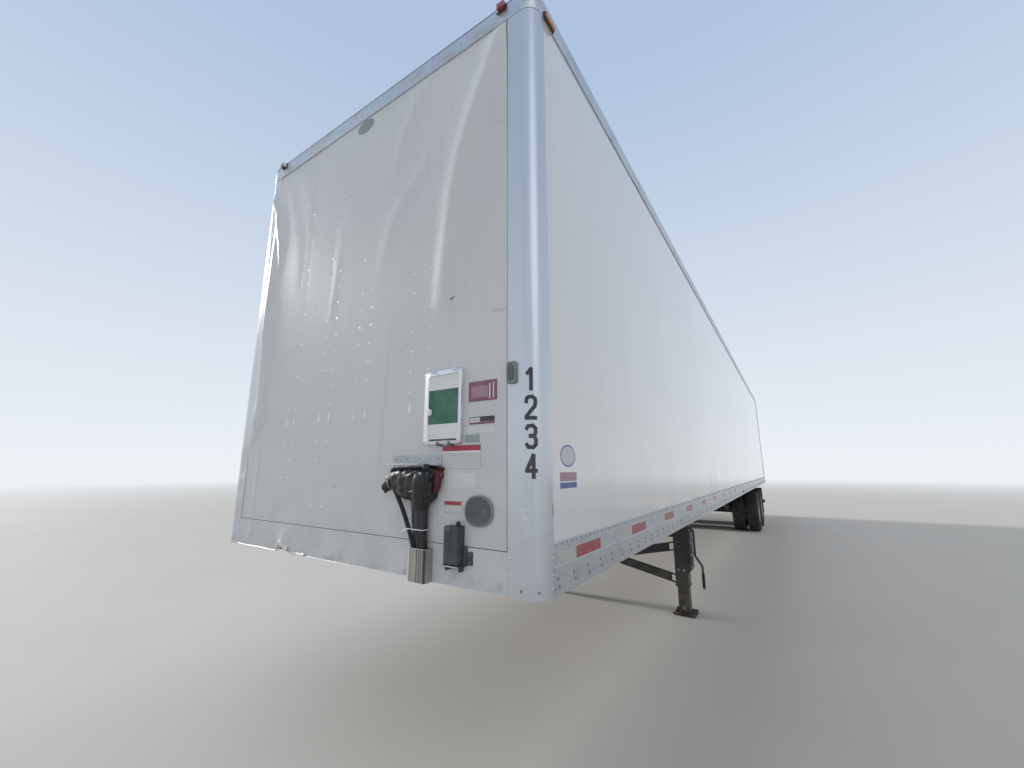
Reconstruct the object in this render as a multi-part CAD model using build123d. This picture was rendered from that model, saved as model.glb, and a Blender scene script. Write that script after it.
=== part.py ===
"""A 53 ft box semi trailer, parked on its landing legs, as separate pieces in one frame.

Millimetres. +X points to the front of the trailer, +Y to its left (road) side and +Z up.
The origin is on the ground, under the middle of the overall length and width.
"""
from build123d import *
from math import cos, pi, sin
import os

# Overall size
length = 16154.0            # 53 ft, front rail face to rear frame face
width = 2591.0              # 102 in over the rails
height = 4115.0             # 13 ft 6 in, ground to top rail
sill_z = 1135.0             # ground to the underside of the bottom rails

# Panels and rails
skin_depth = 8.0            # how far the wall faces lie inside the rails
side_wall_t = 25.0
front_wall_t = 40.0
rail_web_h = 110.0          # bottom rail, lower web
rail_h = 205.0              # bottom rail, whole height
rail_step = 4.0             # the upper flange lies this far inside the lower web
rail_foot_w = 60.0
rail_foot_t = 6.0
top_rail_h = 110.0
top_rail_flange_w = 70.0
top_rail_flange_t = 6.0
top_rail_lip_h = 6.0
corner_r = 85.0             # outer corner radius of the front top rail
post_inset = 3.0            # the corner posts lie this far inside the top rail
post_front_w = 166.0        # from the side to the post's seam on the front wall
post_side_w = 105.0         # from the front to the post's seam on the side wall
post_lap = 18.0             # the side wall runs this far under the post's flange
nose_panel_h = 168.0
nose_panel_t = 3.0
panel_gap = 0.3             # free space round a panel that is let in
cut_past = 1.0              # a cut runs this far past the face it starts from

# Floor and roof
crossmember_h = 98.0
crossmember_w = 57.0
crossmember_t = 4.5
crossmember_pitch = 305.0
floor_t = 35.0
roof_t = 4.0
bow_h = 30.0
bow_w = 50.0
bow_pitch = 610.0

# Upper coupler and kingpin
coupler_l = 1520.0
coupler_t = 8.0
coupler_rib_t = 10.0
coupler_rib_pitch = 250.0
kingpin_back = 914.0        # 36 in behind the front face
kingpin_neck_r = 25.4
kingpin_shoulder_r = 35.7
kingpin_head_r = 36.5
kingpin_shoulder_h = 33.0
kingpin_neck_h = 35.0
kingpin_head_h = 16.0
kingpin_base_r = 120.0
kingpin_base_t = 16.0
kingpin_hole_gap = 1.0

# Rear frame and doors
frame_depth = 90.0
frame_post_w = 47.0
header_h = 112.0
jamb_w = 25.0
door_t = 32.0
door_gap = 5.0
door_mid_gap = 8.0
jamb_gap = 6.0
pin_back = 28.0             # hinge pin behind the door's outer face
pin_side = 12.0             # hinge pin inside the trailer's side
pin_r = 6.0
pin_play = 0.08
knuckle_r = 12.0
strap_h = 60.0
strap_l = 260.0
strap_t = 12.0
strap_clear = 6.0           # free space between the strap's neck and the post
strap_neck_cut = 4.0        # the neck stops this far inside the knuckle's outer side
lug_t = 14.0
lug_play = 1.0
hinge_count = 4
hinge_end = 190.0           # first and last hinge from the door's ends
rod_r = 13.5
rod_stand = 12.0            # free space between a lock rod and the door
rod_over = 70.0             # the rods reach this far past the door's ends
rod_places = (430.0, 900.0)
bracket_count = 4           # brackets that hold each rod to the door
bracket_end = 136.0         # first and last bracket from the door's ends
bracket_plate_w = 60.0
bracket_plate_h = 46.0
cam_w = 57.0
cam_clear = 6.0             # free space between the cams and the rear frame
handle_l = 330.0
handle_h = 34.0
handle_t = 12.0
handle_stand = 28.0         # between the lock rod's axis and the handle
handle_up = 560.0           # above the door's lower edge

# Lamps
lamp_r = 52.0
lamp_t = 16.0
lamp_in = (275.5, 145.5)    # sill lamps, inside the trailer's side
small_lamp_l = 100.0
small_lamp_h = 34.0
small_lamp_t = 18.0
header_lamp_pitch = 150.0
header_lamp_in = 100.0      # outer lamps of the header, inside the trailer's side
side_lamp_ahead = 100.0     # rear lamp of each side, ahead of the rear frame
top_lamp_up = 3.0           # side lamps near the front, above the top rail's lower edge
front_lamp_l = 56.0
front_lamp_h = 34.0
front_lamp_t = 24.0
front_lamp_in = 203.0       # inside the trailer's side

# Underride guard
guard_bar = 100.0
guard_z = 455.0
guard_in = 75.5             # bar's ends and middle of the legs, inside the trailer's sides
guard_leg_in = 840.5
guard_leg_w = 90.0
guard_leg_d = 70.0
guard_set_in = 15.0
guard_brace_t = 12.0
guard_brace_run = 650.0
guard_brace_end = 144.0     # length of the braces' ends, on the leg and under the floor

# Landing gear
leg_back = 3950.0
leg_in = 355.5              # middle of the legs inside the trailer's side
leg_tube = 140.0
leg_tube_t = 8.0
leg_plate_t = 10.0          # plate under the floor beams, longer than their pitch
leg_drop = 830.0            # underside of the rails to the lower end of the outer tube
foot_tube = 118.0
foot_tube_up = 300.0        # the inner tube reaches this far into the outer one
foot_collar_h = 100.0
foot_lug_w = 59.0
foot_pad = 240.0
foot_sole = 192.0           # flat part of the sand shoe
foot_pad_t = 12.0
foot_pad_rise = 34.0
bracket_d = 45.0
bracket_w = 150.0
bracket_drop = 640.0
bracket_chamfer = 45.0
drive_drop = 200.0          # cross shaft below the rails
drive_r = 19.0
gearbox_w = 130.0
gearbox_d = 62.0
gearbox_h = 190.0
brace_h = 100.0
brace_t = 26.0
brace_high = 400.0
brace_low = 770.0
brace_tab_l = 60.0
brace_tab_h = 14.0
crank_r = 12.5
crank_stub = 34.0
crank_arm = 290.0
crank_jog_out = 70.0
crank_jog_down = 110.0
crank_grip = 240.0
crank_bend_r = 27.0

# Bogie
rear_axle_back = 13106.0    # 40 ft behind the kingpin
axle_spread = 1245.0
tyre_r = 505.0
tyre_w = 280.0
tyre_facets = 36            # flats round each tyre, with one on the ground
belly_r = 400.0             # radius at which the tyre is widest
shoulder_w = 262.0
shoulder_drop = 24.0        # tread shoulder, inside the tyre's radius
tread_w = 216.0
bead_r = 285.0
bead_gap = 0.3
rim_w = 240.0
rim_t = 9.0
rim_lip_h = 15.0
rim_lip_t = 8.0
dual_half = 171.5           # from the middle of a twin wheel to each tyre's middle
disc_t = 11.0
disc_slant_t = 14.0         # along the axle, where the disc slants
disc_knee_y = 28.0          # the slant begins this far from the twin wheel's middle
disc_knee_r = 230.0
disc_seat = 30.0            # the disc meets the rim this far from the rim's inner edge
disc_lap = 14.0
bolt_face_r = 170.0
hand_hole_r = 27.0
hand_hole_at = 213.0
hand_holes = 10
hub_r = 78.0
hub_flange_r = 168.0
hub_flange_t = 18.0
hub_in = 200.0
hub_out = 100.0
hub_cap_r = 66.0
hub_cap_end_r = 56.0
hub_cap_l = 38.0
drum_r = 210.0
drum_wall = 15.0
drum_in = 225.0
spindle_r = 44.7
spindle_play = 0.08
axle_r = 63.5
axle_gap = 5.0
shield_t = 5.0
shield_gap = 6.0
shield_r = 202.0
slider_in = 424.0           # bogie rails, inside the twin wheels' middle
slider_rail_w = 70.0
slider_rail_h = 100.0
slider_rail_t = 9.0
slider_rail_back = 10100.0
bogie_rail_h = 120.0
bogie_rail_w = 80.0
bogie_ahead = 720.0
bogie_behind = 690.0
bogie_bar = 90.0
hanger_ahead = 520.0
hanger_h = 345.0
hanger_l = 130.0
hanger_plate_t = 10.0
arm_w = 76.0
arm_h = 90.0
arm_z = 590.0
arm_behind = 470.0
arm_play = 5.0
arm_pin_r = 16.0
saddle_l = 190.0
spring_in = 40.0            # air springs, inside the bogie rails
spring_behind = 365.0
spring_r = 125.0
spring_seat_r = 100.0
spring_seat_t = 8.0
spring_foot_r = 90.0
spring_foot_h = 24.0
spring_roll_r = 120.0
spring_roll_h = 48.0        # the bellows reach this radius this far from both ends
spring_lid_r = 106.0
spring_lid_h = 8.0
chamber_r = 78.0
chamber_l = 170.0
chamber_in = 230.0          # brake chambers, inside the bogie rails
chamber_behind = 190.0
chamber_up = 39.0           # above the axle
chamber_arm_t = 20.0
chamber_arm_low = 30.0      # the arm reaches this far below the axle's middle
chamber_arm_high = 60.0
tank_r = 120.0
tank_l = 780.0
tank_drop = 10.0            # free space between the tank and its cross bar
tank_strap = 40.0
tank_strap_y = 260.0
flap_w = 610.0
flap_h = 720.0
flap_t = 8.0
flap_bar = 40.0
flap_edge = 8.0

# Fittings on the front wall, as distances inside the left side and above the rails' underside
box_in = (413.5, 650.5)
box_z = (616.0, 978.0)
box_d = 30.0
box_corner_r = 16.0
shield_in = (544.5, 883.5)
shield_z = (518.0, 569.0)
shield_reach = 48.0
plate_t = 4.0
connector_in = (550.5, 837.5)
connector_z = (354.0, 517.0)
connector_d = 80.0
hood_top_d = 58.0           # depth of the connectors' hood at its top and at its sole
hood_sole_d = 50.0
hood_brow = 35.0            # the hood is deepest this far below its top
hood_hem = 25.0             # and keeps that depth down to this far above its sole
hood_shoulder = 24.0
hood_cut_w = 50.0           # slanted lower corner on the hood's right hand side
hood_cut_h = 35.0
plug_r = 27.0
plug_root = (36.0, 20.0, 80.0)   # plug's axis: out of the wall, inside the hood's end, below its top
plug_tip = (40.0, -40.0, 105.0)
duct_in = (579.5, 683.5)
duct_top = 146.0
duct_d = 52.0
equipment_in = (395.5, 478.5)
equipment_z = (76.0, 255.0)
equipment_d = 46.0
equipment_r = 12.0
equipment_flange_h = 32.0   # thin flange below the box
equipment_flange_t = 8.0
vent_at = (315.5, 322.0)
vent_r = 70.0
vent_d = 16.0
bundle_top_w = 99.0
bundle_w = 69.0
bundle_d = 36.0
bundle_r = 14.0
hose_r = 10.5
hose_gap = 2.0
hose_end = 60.0             # the hoses reach this far into the duct
hose_root = (30.0, 50.0)    # where the single hose starts: inside the hood's end, above its sole
hose_knee = 10.0            # above the duct
hose_bend_r = 42.0
marker_in = (114.5, 164.5)
marker_z = (867.0, 968.0)
marker_d = 16.0
marker_r = 14.0

# Worked out from the sizes above
half_w = width / 2
front_reach = connector_d - skin_depth
rod_back = rod_stand + rod_r
rear_reach = rod_back + handle_stand + handle_t
front_x = (length + rear_reach - front_reach) / 2
rear_x = front_x - length
skin_x = front_x - skin_depth
frame_x = rear_x + frame_depth
wall_y = half_w - skin_depth
floor_z = sill_z + rail_foot_t + crossmember_h
deck_z = floor_z + floor_t
under_z = sill_z + rail_foot_t
roof_seat_z = height - top_rail_lip_h
wall_top_z = roof_seat_z - top_rail_flange_t
door_low_z = deck_z + door_gap
header_z = height - header_h
door_high_z = header_z - door_gap
pin_x = rear_x - pin_back
pin_y = half_w - pin_side
door_edge_y = half_w - frame_post_w - door_gap
leg_x = front_x - leg_back
leg_y = half_w - leg_in
track_half = half_w - tyre_w / 2 - dual_half
slider_y = track_half - slider_in
spring_y = slider_y - spring_in
chamber_y = slider_y - chamber_in
guard_half = half_w - guard_in
guard_leg_y = half_w - guard_leg_in
axle_xs = (front_x - rear_axle_back + axle_spread, front_x - rear_axle_back)
slider_rail_z = under_z - slider_rail_h
bogie_z = slider_rail_z - bogie_rail_h
bogie_front_x = axle_xs[0] + bogie_ahead
bogie_rear_x = axle_xs[1] - bogie_behind
box_y = (half_w - box_in[1], half_w - box_in[0])
shield_y = (half_w - shield_in[1], half_w - shield_in[0])
connector_y = (half_w - connector_in[1], half_w - connector_in[0])
duct_y = (half_w - duct_in[1], half_w - duct_in[0])
equipment_y = (half_w - equipment_in[1], half_w - equipment_in[0])
vent_y = half_w - vent_at[0]
marker_y = (half_w - marker_in[1], half_w - marker_in[0])
sides = {"left": 1, "right": -1}


def about(middle, size):
    """The (low, high) pair of a size round its middle."""
    return (middle - size / 2, middle + size / 2)


def block(x, y, z):
    """A box from three (low, high) pairs."""
    low_x, high_x = sorted(x)
    low_y, high_y = sorted(y)
    low_z, high_z = sorted(z)
    place = Pos((low_x + high_x) / 2, (low_y + high_y) / 2, (low_z + high_z) / 2)
    return place * Box(high_x - low_x, high_y - low_y, high_z - low_z)


def rounded_block(x, y, z, radius, axis):
    """A box whose four edges along the axis are round."""
    shape = block(x, y, z)
    return fillet(shape.edges().filter_by(axis), radius)


def prism(points, direction, start, end):
    """A closed outline of (a, b) points, run from start to end along X, Y or Z."""
    if direction == "X":
        plane = Plane(origin=(start, 0, 0), x_dir=(0, 1, 0), z_dir=(1, 0, 0))
    elif direction == "Y":
        plane = Plane(origin=(0, start, 0), x_dir=(-1, 0, 0), z_dir=(0, 1, 0))
        points = [(-a, b) for a, b in points]
    else:
        plane = Plane(origin=(0, 0, start), x_dir=(1, 0, 0), z_dir=(0, 0, 1))
    face = plane * make_face(Polyline(*points, close=True))
    return extrude(face, amount=end - start, dir=plane.z_dir)


def rod(start, end, radius):
    """A round bar between two points."""
    a, b = Vector(*start), Vector(*end)
    plane = Plane(origin=a, z_dir=(b - a).normalized())
    return extrude(plane * Circle(radius), amount=(b - a).length)


def turned(profile):
    """A closed (y, radius) outline turned about the wheel axis, which runs along Y."""
    face = make_face(Polyline(*[(r, v) for v, r in profile], close=True))
    return revolve(face, Axis.Y)


def faceted(profile, middle_y, count):
    """A closed (y, radius) outline carried round the wheel axis as flat facets."""
    reach = 1 / cos(pi / count)
    faces = []
    for i in range(count):
        start = 2 * pi * (i - 0.5) / count
        end = 2 * pi * (i + 0.5) / count
        for (v_a, r_a), (v_b, r_b) in zip(profile, profile[1:] + profile[:1]):
            corners = []
            for v, r, angle in ((v_a, r_a, start), (v_b, r_b, start), (v_b, r_b, end), (v_a, r_a, end)):
                corners.append((reach * r * sin(angle), middle_y + v, reach * r * cos(angle)))
            faces.append(Face(Wire.make_polygon(corners)))
    return Solid(Shell(faces))


def one(*shapes):
    """Pieces fused into one solid."""
    made = shapes[0]
    for shape in shapes[1:]:
        made = made + shape
    return made


def side_copy(shape, side):
    """The left piece itself, or its mirror image for the right side."""
    return shape if side > 0 else mirror(shape, Plane.XZ)


def both_sides(shape):
    return [shape, mirror(shape, Plane.XZ)]


def evenly(first, last, count):
    """Places from first to last, both ends used."""
    return [first + (last - first) * i / (count - 1) for i in range(count)]


def spread_out(first, last, pitch):
    """Places from first to last at about the pitch, both ends used."""
    return evenly(first, last, max(1, round((last - first) / pitch)) + 1)


# Body panels
def front_wall():
    half = half_w - corner_r - panel_gap
    return block((skin_x - front_wall_t, skin_x), (-half, half), (sill_z, wall_top_z))


def nose_panel():
    half = half_w - post_front_w - panel_gap
    return block((skin_x, skin_x + nose_panel_t), (-half, half), (sill_z, sill_z + nose_panel_h))


def corner_post():
    """Closed corner section: a flange over each wall's edge and a round outer corner."""
    outer = front_x - post_inset
    side = half_w - post_inset
    round_r = corner_r - post_inset
    wall_end = half_w - corner_r
    inner_x = skin_x - front_wall_t
    lap_x = front_x - post_side_w + post_lap
    inner_y = wall_y - side_wall_t
    low, high = sill_z, height - top_rail_h
    outline = Plane.XY.offset(low) * make_face([
        Line((outer, half_w - post_front_w), (outer, side - round_r)),
        JernArc((outer, side - round_r), (0, 1), round_r, 90),
        Line((outer - round_r, side), (front_x - post_side_w, side)),
        Line((front_x - post_side_w, side), (front_x - post_side_w, wall_y)),
        Line((front_x - post_side_w, wall_y), (lap_x, wall_y)),
        Line((lap_x, wall_y), (lap_x, inner_y)),
        Line((lap_x, inner_y), (inner_x, wall_end)),
        Line((inner_x, wall_end), (skin_x, wall_end)),
        Line((skin_x, wall_end), (skin_x, half_w - post_front_w)),
        Line((skin_x, half_w - post_front_w), (outer, half_w - post_front_w)),
    ])
    return extrude(outline, amount=high - low)


def side_wall():
    start = front_x - post_side_w + post_lap - panel_gap
    low = sill_z + rail_web_h
    return block((frame_x, start), (wall_y - side_wall_t, wall_y), (low, wall_top_z))


def bottom_rail():
    """Web with a foot for the floor beams, a shelf for the wall and a stepped flange."""
    shelf_in = wall_y - side_wall_t
    outline = [
        (half_w, sill_z), (half_w - rail_foot_w, sill_z), (half_w - rail_foot_w, under_z),
        (wall_y, under_z), (wall_y, floor_z), (shelf_in, floor_z),
        (shelf_in, sill_z + rail_web_h), (wall_y, sill_z + rail_web_h),
        (wall_y, sill_z + rail_h), (half_w - rail_step, sill_z + rail_h),
        (half_w - rail_step, sill_z + rail_web_h), (half_w, sill_z + rail_web_h),
    ]
    return prism(outline, "X", frame_x, front_x - post_side_w)


def top_rail_side():
    """Web with a flange that the roof sheet rests on."""
    flange_in = half_w - top_rail_flange_w
    outline = [
        (half_w, height - top_rail_h), (wall_y, height - top_rail_h), (wall_y, wall_top_z),
        (flange_in, wall_top_z), (flange_in, roof_seat_z), (wall_y, roof_seat_z),
        (wall_y, height), (half_w, height),
    ]
    return prism(outline, "X", frame_x, front_x - post_side_w)


def rounded_plan(inset, back, low, high):
    """The trailer's front end in plan, set in by inset, from back to the front face."""
    half, front = half_w - inset, front_x - inset
    plan = block((front - back, front), (-half, half), (low, high))
    corners = plan.edges().filter_by(Axis.Z).group_by(Axis.X)[-1]
    return fillet(corners, corner_r - inset)


def top_rail_front():
    """Front top rail with both round corners, as far as the posts' side seams."""
    back = post_side_w
    low = height - top_rail_h
    ring = rounded_plan(0, back, low, height) - rounded_plan(skin_depth, back, low, height)
    flange = rounded_plan(0, back, wall_top_z, roof_seat_z)
    cut_half = half_w - top_rail_flange_w
    cut_x = (front_x - back - cut_past, front_x - top_rail_flange_w)
    flange = flange - block(cut_x, (-cut_half, cut_half), (wall_top_z, roof_seat_z))
    return one(ring, flange)


def roof_sheet():
    inset = skin_depth + panel_gap
    return rounded_plan(inset, front_x - inset - frame_x, roof_seat_z, roof_seat_z + roof_t)


def roof_bows():
    half = half_w - top_rail_flange_w - panel_gap
    first = frame_x + bow_pitch / 2
    last = front_x - corner_r - bow_pitch / 2
    bows = []
    for x in spread_out(first, last, bow_pitch):
        bows.append(block(about(x, bow_w), (-half, half), (roof_seat_z - bow_h, roof_seat_z)))
    return bows


def post_room(low, high):
    """The space that both corner posts take out of the floor, with its free gap."""
    inner_x = skin_x - front_wall_t
    lap_x = front_x - post_side_w + post_lap - panel_gap
    wall_end = half_w - corner_r - panel_gap
    outline = [
        (lap_x, half_w), (lap_x, wall_y - side_wall_t - panel_gap),
        (inner_x, wall_end), (inner_x + cut_past, wall_end), (inner_x + cut_past, half_w),
    ]
    return one(*both_sides(prism(outline, "Z", low, high)))


def floor_deck():
    half = wall_y - side_wall_t - panel_gap
    deck = block((frame_x, skin_x - front_wall_t), (-half, half), (floor_z, deck_z))
    return deck - post_room(floor_z, deck_z)


def crossmembers():
    """Steel I beams under the floor, behind the coupler."""
    half = wall_y - panel_gap
    w, t = crossmember_w / 2, crossmember_t / 2
    low, high = under_z, floor_z
    section = [
        (-w, low), (w, low), (w, low + 2 * t), (t, low + 2 * t), (t, high - 2 * t),
        (w, high - 2 * t), (w, high), (-w, high), (-w, high - 2 * t), (-t, high - 2 * t),
        (-t, low + 2 * t), (-w, low + 2 * t),
    ]
    first = frame_x + crossmember_pitch / 2
    last = skin_x - front_wall_t - coupler_l - crossmember_pitch / 2
    beams = []
    for x in spread_out(first, last, crossmember_pitch):
        beams.append(prism([(x + a, b) for a, b in section], "Y", -half, half))
    return beams


def upper_coupler():
    """Bolster plate with cross ribs that carry the front of the floor."""
    front = skin_x - front_wall_t
    back = front - coupler_l
    half = half_w - rail_foot_w - panel_gap
    parts = [block((back, front), (-half, half), (sill_z, sill_z + coupler_t))]
    rib_half = wall_y - panel_gap
    rib_low = sill_z + coupler_t
    for x in spread_out(back + coupler_rib_t / 2, front - coupler_rib_t / 2, coupler_rib_pitch):
        parts.append(block(about(x, coupler_rib_t), (-rib_half, rib_half), (rib_low, floor_z)))
    x = front_x - kingpin_back
    hole = rod((x, 0, sill_z), (x, 0, rib_low), kingpin_head_r + kingpin_hole_gap)
    seat = rod((x, 0, rib_low), (x, 0, rib_low + kingpin_base_t), kingpin_base_r + kingpin_hole_gap)
    return one(*parts) - hole - seat - post_room(sill_z, floor_z)


def kingpin():
    """Two inch kingpin: base plate, shoulder, locking neck and head, from top to bottom."""
    x = front_x - kingpin_back
    base_z = sill_z + coupler_t
    neck_top = sill_z - kingpin_shoulder_h
    head_top = neck_top - kingpin_neck_h
    sections = [
        (kingpin_base_r, base_z, base_z + kingpin_base_t),
        (kingpin_shoulder_r, neck_top, base_z),
        (kingpin_neck_r, head_top, neck_top),
        (kingpin_head_r, head_top - kingpin_head_h, head_top),
    ]
    return one(*[rod((x, 0, low), (x, 0, high), r) for r, low, high in sections])


# Rear frame and doors
def rear_frame():
    """Posts, header and sill round the doorway, with a jamb that the doors close against."""
    outside = block((rear_x, frame_x), (-half_w, half_w), (sill_z, height))
    door_half = half_w - frame_post_w
    recess_x = (rear_x, rear_x + door_t + jamb_gap)
    recess = block(recess_x, (-door_half, door_half), (deck_z, header_z))
    open_half = door_half - jamb_w
    opening = block((rear_x, frame_x), (-open_half, open_half), (deck_z, header_z - jamb_w))
    return outside - recess - opening


def hinge_places():
    return evenly(door_low_z + hinge_end, door_high_z - hinge_end, hinge_count)


def hinge_butts():
    """Pairs of lugs on the left post with the pin between them."""
    butts = []
    for z in hinge_places():
        pieces = []
        for low in (z - strap_h / 2 - lug_play - lug_t, z + strap_h / 2 + lug_play):
            high = low + lug_t
            pieces.append(block((pin_x, rear_x), about(pin_y, 2 * knuckle_r), (low, high)))
            pieces.append(rod((pin_x, pin_y, low), (pin_x, pin_y, high), knuckle_r))
        pin_low, pin_high = about(z, strap_h + 2 * lug_play + 2 * lug_t)
        pieces.append(rod((pin_x, pin_y, pin_low), (pin_x, pin_y, pin_high), pin_r))
        butts.append(one(*pieces))
    return butts


def door_leaf():
    return block((rear_x, rear_x + door_t), (door_mid_gap / 2, door_edge_y), (door_low_z, door_high_z))


def hinge_strap(z):
    """Knuckle round the pin, a neck past the post and a flat strap on the door."""
    low, high = about(z, strap_h)
    neck_y = (pin_y - knuckle_r, pin_y + knuckle_r - strap_neck_cut)
    strap_end_y = door_edge_y - door_gap
    neck = block((pin_x, rear_x - strap_clear), neck_y, (low, high))
    knuckle = rod((pin_x, pin_y, low), (pin_x, pin_y, high), knuckle_r)
    bridge = block((rear_x - strap_t, rear_x - strap_clear), (strap_end_y, pin_y), (low, high))
    plate = block((rear_x - strap_t, rear_x), (pin_y - strap_l, strap_end_y), (low, high))
    bore = rod((pin_x, pin_y, low), (pin_x, pin_y, high), pin_r + pin_play)
    return one(knuckle, neck, bridge, plate) - bore


def lock_rod(y):
    """A lock rod with its brackets, cams and handle."""
    x = rear_x - rod_back
    low, high = door_low_z - rod_over, door_high_z + rod_over
    pieces = [rod((x, y, low), (x, y, high), rod_r)]
    for z in evenly(door_low_z + bracket_end, door_high_z - bracket_end, bracket_count):
        pieces.append(block((x, rear_x), about(y, bracket_plate_w), about(z, bracket_plate_h)))
    cam_y = (y - rod_r, y - rod_r + cam_w)
    for z in ((low, low + bracket_plate_h), (high - bracket_plate_h, high)):
        pieces.append(block((x - rod_r, rear_x - cam_clear), cam_y, z))
    handle_z = about(door_low_z + handle_up, handle_h)
    handle_x = x - handle_stand - handle_t
    pieces.append(block((handle_x, x), about(y, 2 * rod_r), handle_z))
    pieces.append(block((handle_x, handle_x + handle_t), (y - handle_l, y + rod_r), handle_z))
    return one(*pieces)


def door_hardware():
    return [hinge_strap(z) for z in hinge_places()] + [lock_rod(y) for y in rod_places]


def red_lamps():
    """Round lamps in the sill, and small ones on the header, the sides' rear ends and the front."""
    lamps = []
    z = (sill_z + deck_z) / 2
    for y in (half_w - inside for inside in lamp_in):
        lamps += both_sides(rod((rear_x - lamp_t, y, z), (rear_x, y, z), lamp_r))
    rear_span = (rear_x - small_lamp_t, rear_x)
    header_span = about(height - header_h / 2, small_lamp_h)
    lamps.append(block(rear_span, about(0, small_lamp_l), header_span))
    for y in (header_lamp_pitch, half_w - header_lamp_in):
        lamps += both_sides(block(rear_span, about(y, small_lamp_l), header_span))
    side_span = (half_w, half_w + small_lamp_t)
    side_x = about(frame_x + side_lamp_ahead, small_lamp_l)
    lamps += both_sides(block(side_x, side_span, about(sill_z + rail_web_h / 2, small_lamp_h)))
    front_y = about(half_w - front_lamp_in, front_lamp_l)
    front_span = (front_x, front_x + front_lamp_t)
    lamps += both_sides(block(front_span, front_y, (height - front_lamp_h, height)))
    return lamps


def amber_lamps():
    """Small side lamps on the top rails near the front and half way along the bottom rails."""
    side_span = (half_w, half_w + small_lamp_t)
    top_x = (front_x - post_side_w - small_lamp_l, front_x - post_side_w)
    top_low = height - top_rail_h + top_lamp_up
    lamps = both_sides(block(top_x, side_span, (top_low, top_low + small_lamp_h)))
    mid_x = about((front_x + rear_x) / 2, small_lamp_l)
    lamps += both_sides(block(mid_x, side_span, about(sill_z + rail_web_h / 2, small_lamp_h)))
    return lamps


def underride_guard():
    """Bar on two legs under the rear frame, with braces that run forward to the floor beams."""
    start_x = rear_x + guard_set_in
    low = guard_z + guard_bar
    bar = block((start_x, start_x + guard_bar), (-guard_half, guard_half), (guard_z, low))
    leg = block((start_x, start_x + guard_leg_d), about(guard_leg_y, guard_leg_w), (low, sill_z))
    foot_x = start_x + guard_leg_d
    far_x = foot_x + guard_brace_run
    outline = [
        (foot_x, low), (foot_x, low + guard_brace_end),
        (far_x, under_z), (far_x + guard_brace_end, under_z),
    ]
    brace = prism(outline, "Y", *about(guard_leg_y, guard_brace_t))
    return one(bar, *both_sides(leg), *both_sides(brace))


# Landing gear
def landing_leg():
    """Outer tube with its mounting bracket on the outboard face."""
    low, high = sill_z - leg_drop, under_z
    tube = block(about(leg_x, leg_tube), about(leg_y, leg_tube), (low, high))
    inside = leg_tube - 2 * leg_tube_t
    hollow = block(about(leg_x, inside), about(leg_y, inside), (low, high - leg_tube_t))
    outer_y = leg_y + leg_tube / 2
    far_y = outer_y + bracket_d
    bottom = sill_z - bracket_drop
    outline = [(outer_y, bottom - bracket_chamfer), (far_y, bottom), (far_y, high), (outer_y, high)]
    bracket = prism(outline, "X", *about(leg_x, bracket_w))
    plate_y = (leg_y - leg_tube / 2, far_y)
    plate_z = (high - leg_plate_t, high)
    plate = block(about(leg_x, crossmember_pitch + crossmember_w), plate_y, plate_z)
    return one(tube - hollow, bracket, plate)


def landing_foot():
    """Inner tube on a sand shoe with turned up edges."""
    pad, flat = foot_pad / 2, foot_sole / 2
    top = sill_z - leg_drop + foot_tube_up
    tube = block(about(leg_x, foot_tube), about(leg_y, foot_tube), (foot_pad_rise, top))
    outline = [
        (-pad, foot_pad_rise), (-flat, 0), (flat, 0), (pad, foot_pad_rise),
        (pad - foot_pad_t, foot_pad_rise), (flat - foot_pad_t / 2, foot_pad_t),
        (foot_pad_t / 2 - flat, foot_pad_t), (foot_pad_t - pad, foot_pad_rise),
    ]
    shoe = Pos(leg_x, 0, 0) * prism(outline, "Y", leg_y - pad, leg_y + pad)
    lug_z = (foot_pad_t / 2, foot_pad_rise + foot_pad_t)
    lug = block(about(leg_x, foot_tube), about(leg_y, foot_lug_w), lug_z)
    room = leg_tube - 2 * leg_tube_t - 2 * panel_gap
    collar = block(about(leg_x, room), about(leg_y, room), (top - foot_collar_h, top))
    return one(shoe, lug, tube, collar)


def leg_brace():
    """Two crossed diagonals between the legs, each with narrow tabs at its ends."""
    inner = leg_y - leg_tube / 2
    end = inner - brace_tab_l
    high, low = sill_z - brace_high, sill_z - brace_low

    def height_at(y):
        return low + (high - low) * (y + inner) / (2 * inner)

    def bar(y_from, y_to, off_low, off_high):
        outline = [
            (y_from, height_at(y_from) + off_low), (y_to, height_at(y_to) + off_low),
            (y_to, height_at(y_to) + off_high), (y_from, height_at(y_from) + off_high),
        ]
        return prism(outline, "X", leg_x, leg_x + brace_t)

    half = brace_h / 2
    pieces = [bar(-end, end, -half, half)]
    for y_from, y_to in ((-inner, -end), (end, inner)):
        pieces.append(bar(y_from, y_to, -half, -half + brace_tab_h))
        pieces.append(bar(y_from, y_to, half - brace_tab_h, half))
    diagonal = one(*pieces)
    other = Pos(-brace_t, 0, 0) * mirror(diagonal, Plane.XZ)
    return one(diagonal, other)


def landing_drive():
    """Gearboxes on the inner faces of both legs, joined by the cross shaft."""
    inner = leg_y - leg_tube / 2
    z = sill_z - drive_drop
    box = block(about(leg_x, gearbox_w), (inner - gearbox_d, inner), about(z, gearbox_h))
    shaft_end = inner - gearbox_d / 2
    shaft = rod((leg_x, -shaft_end, z), (leg_x, shaft_end, z), drive_r)
    return one(shaft, *both_sides(box))


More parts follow.
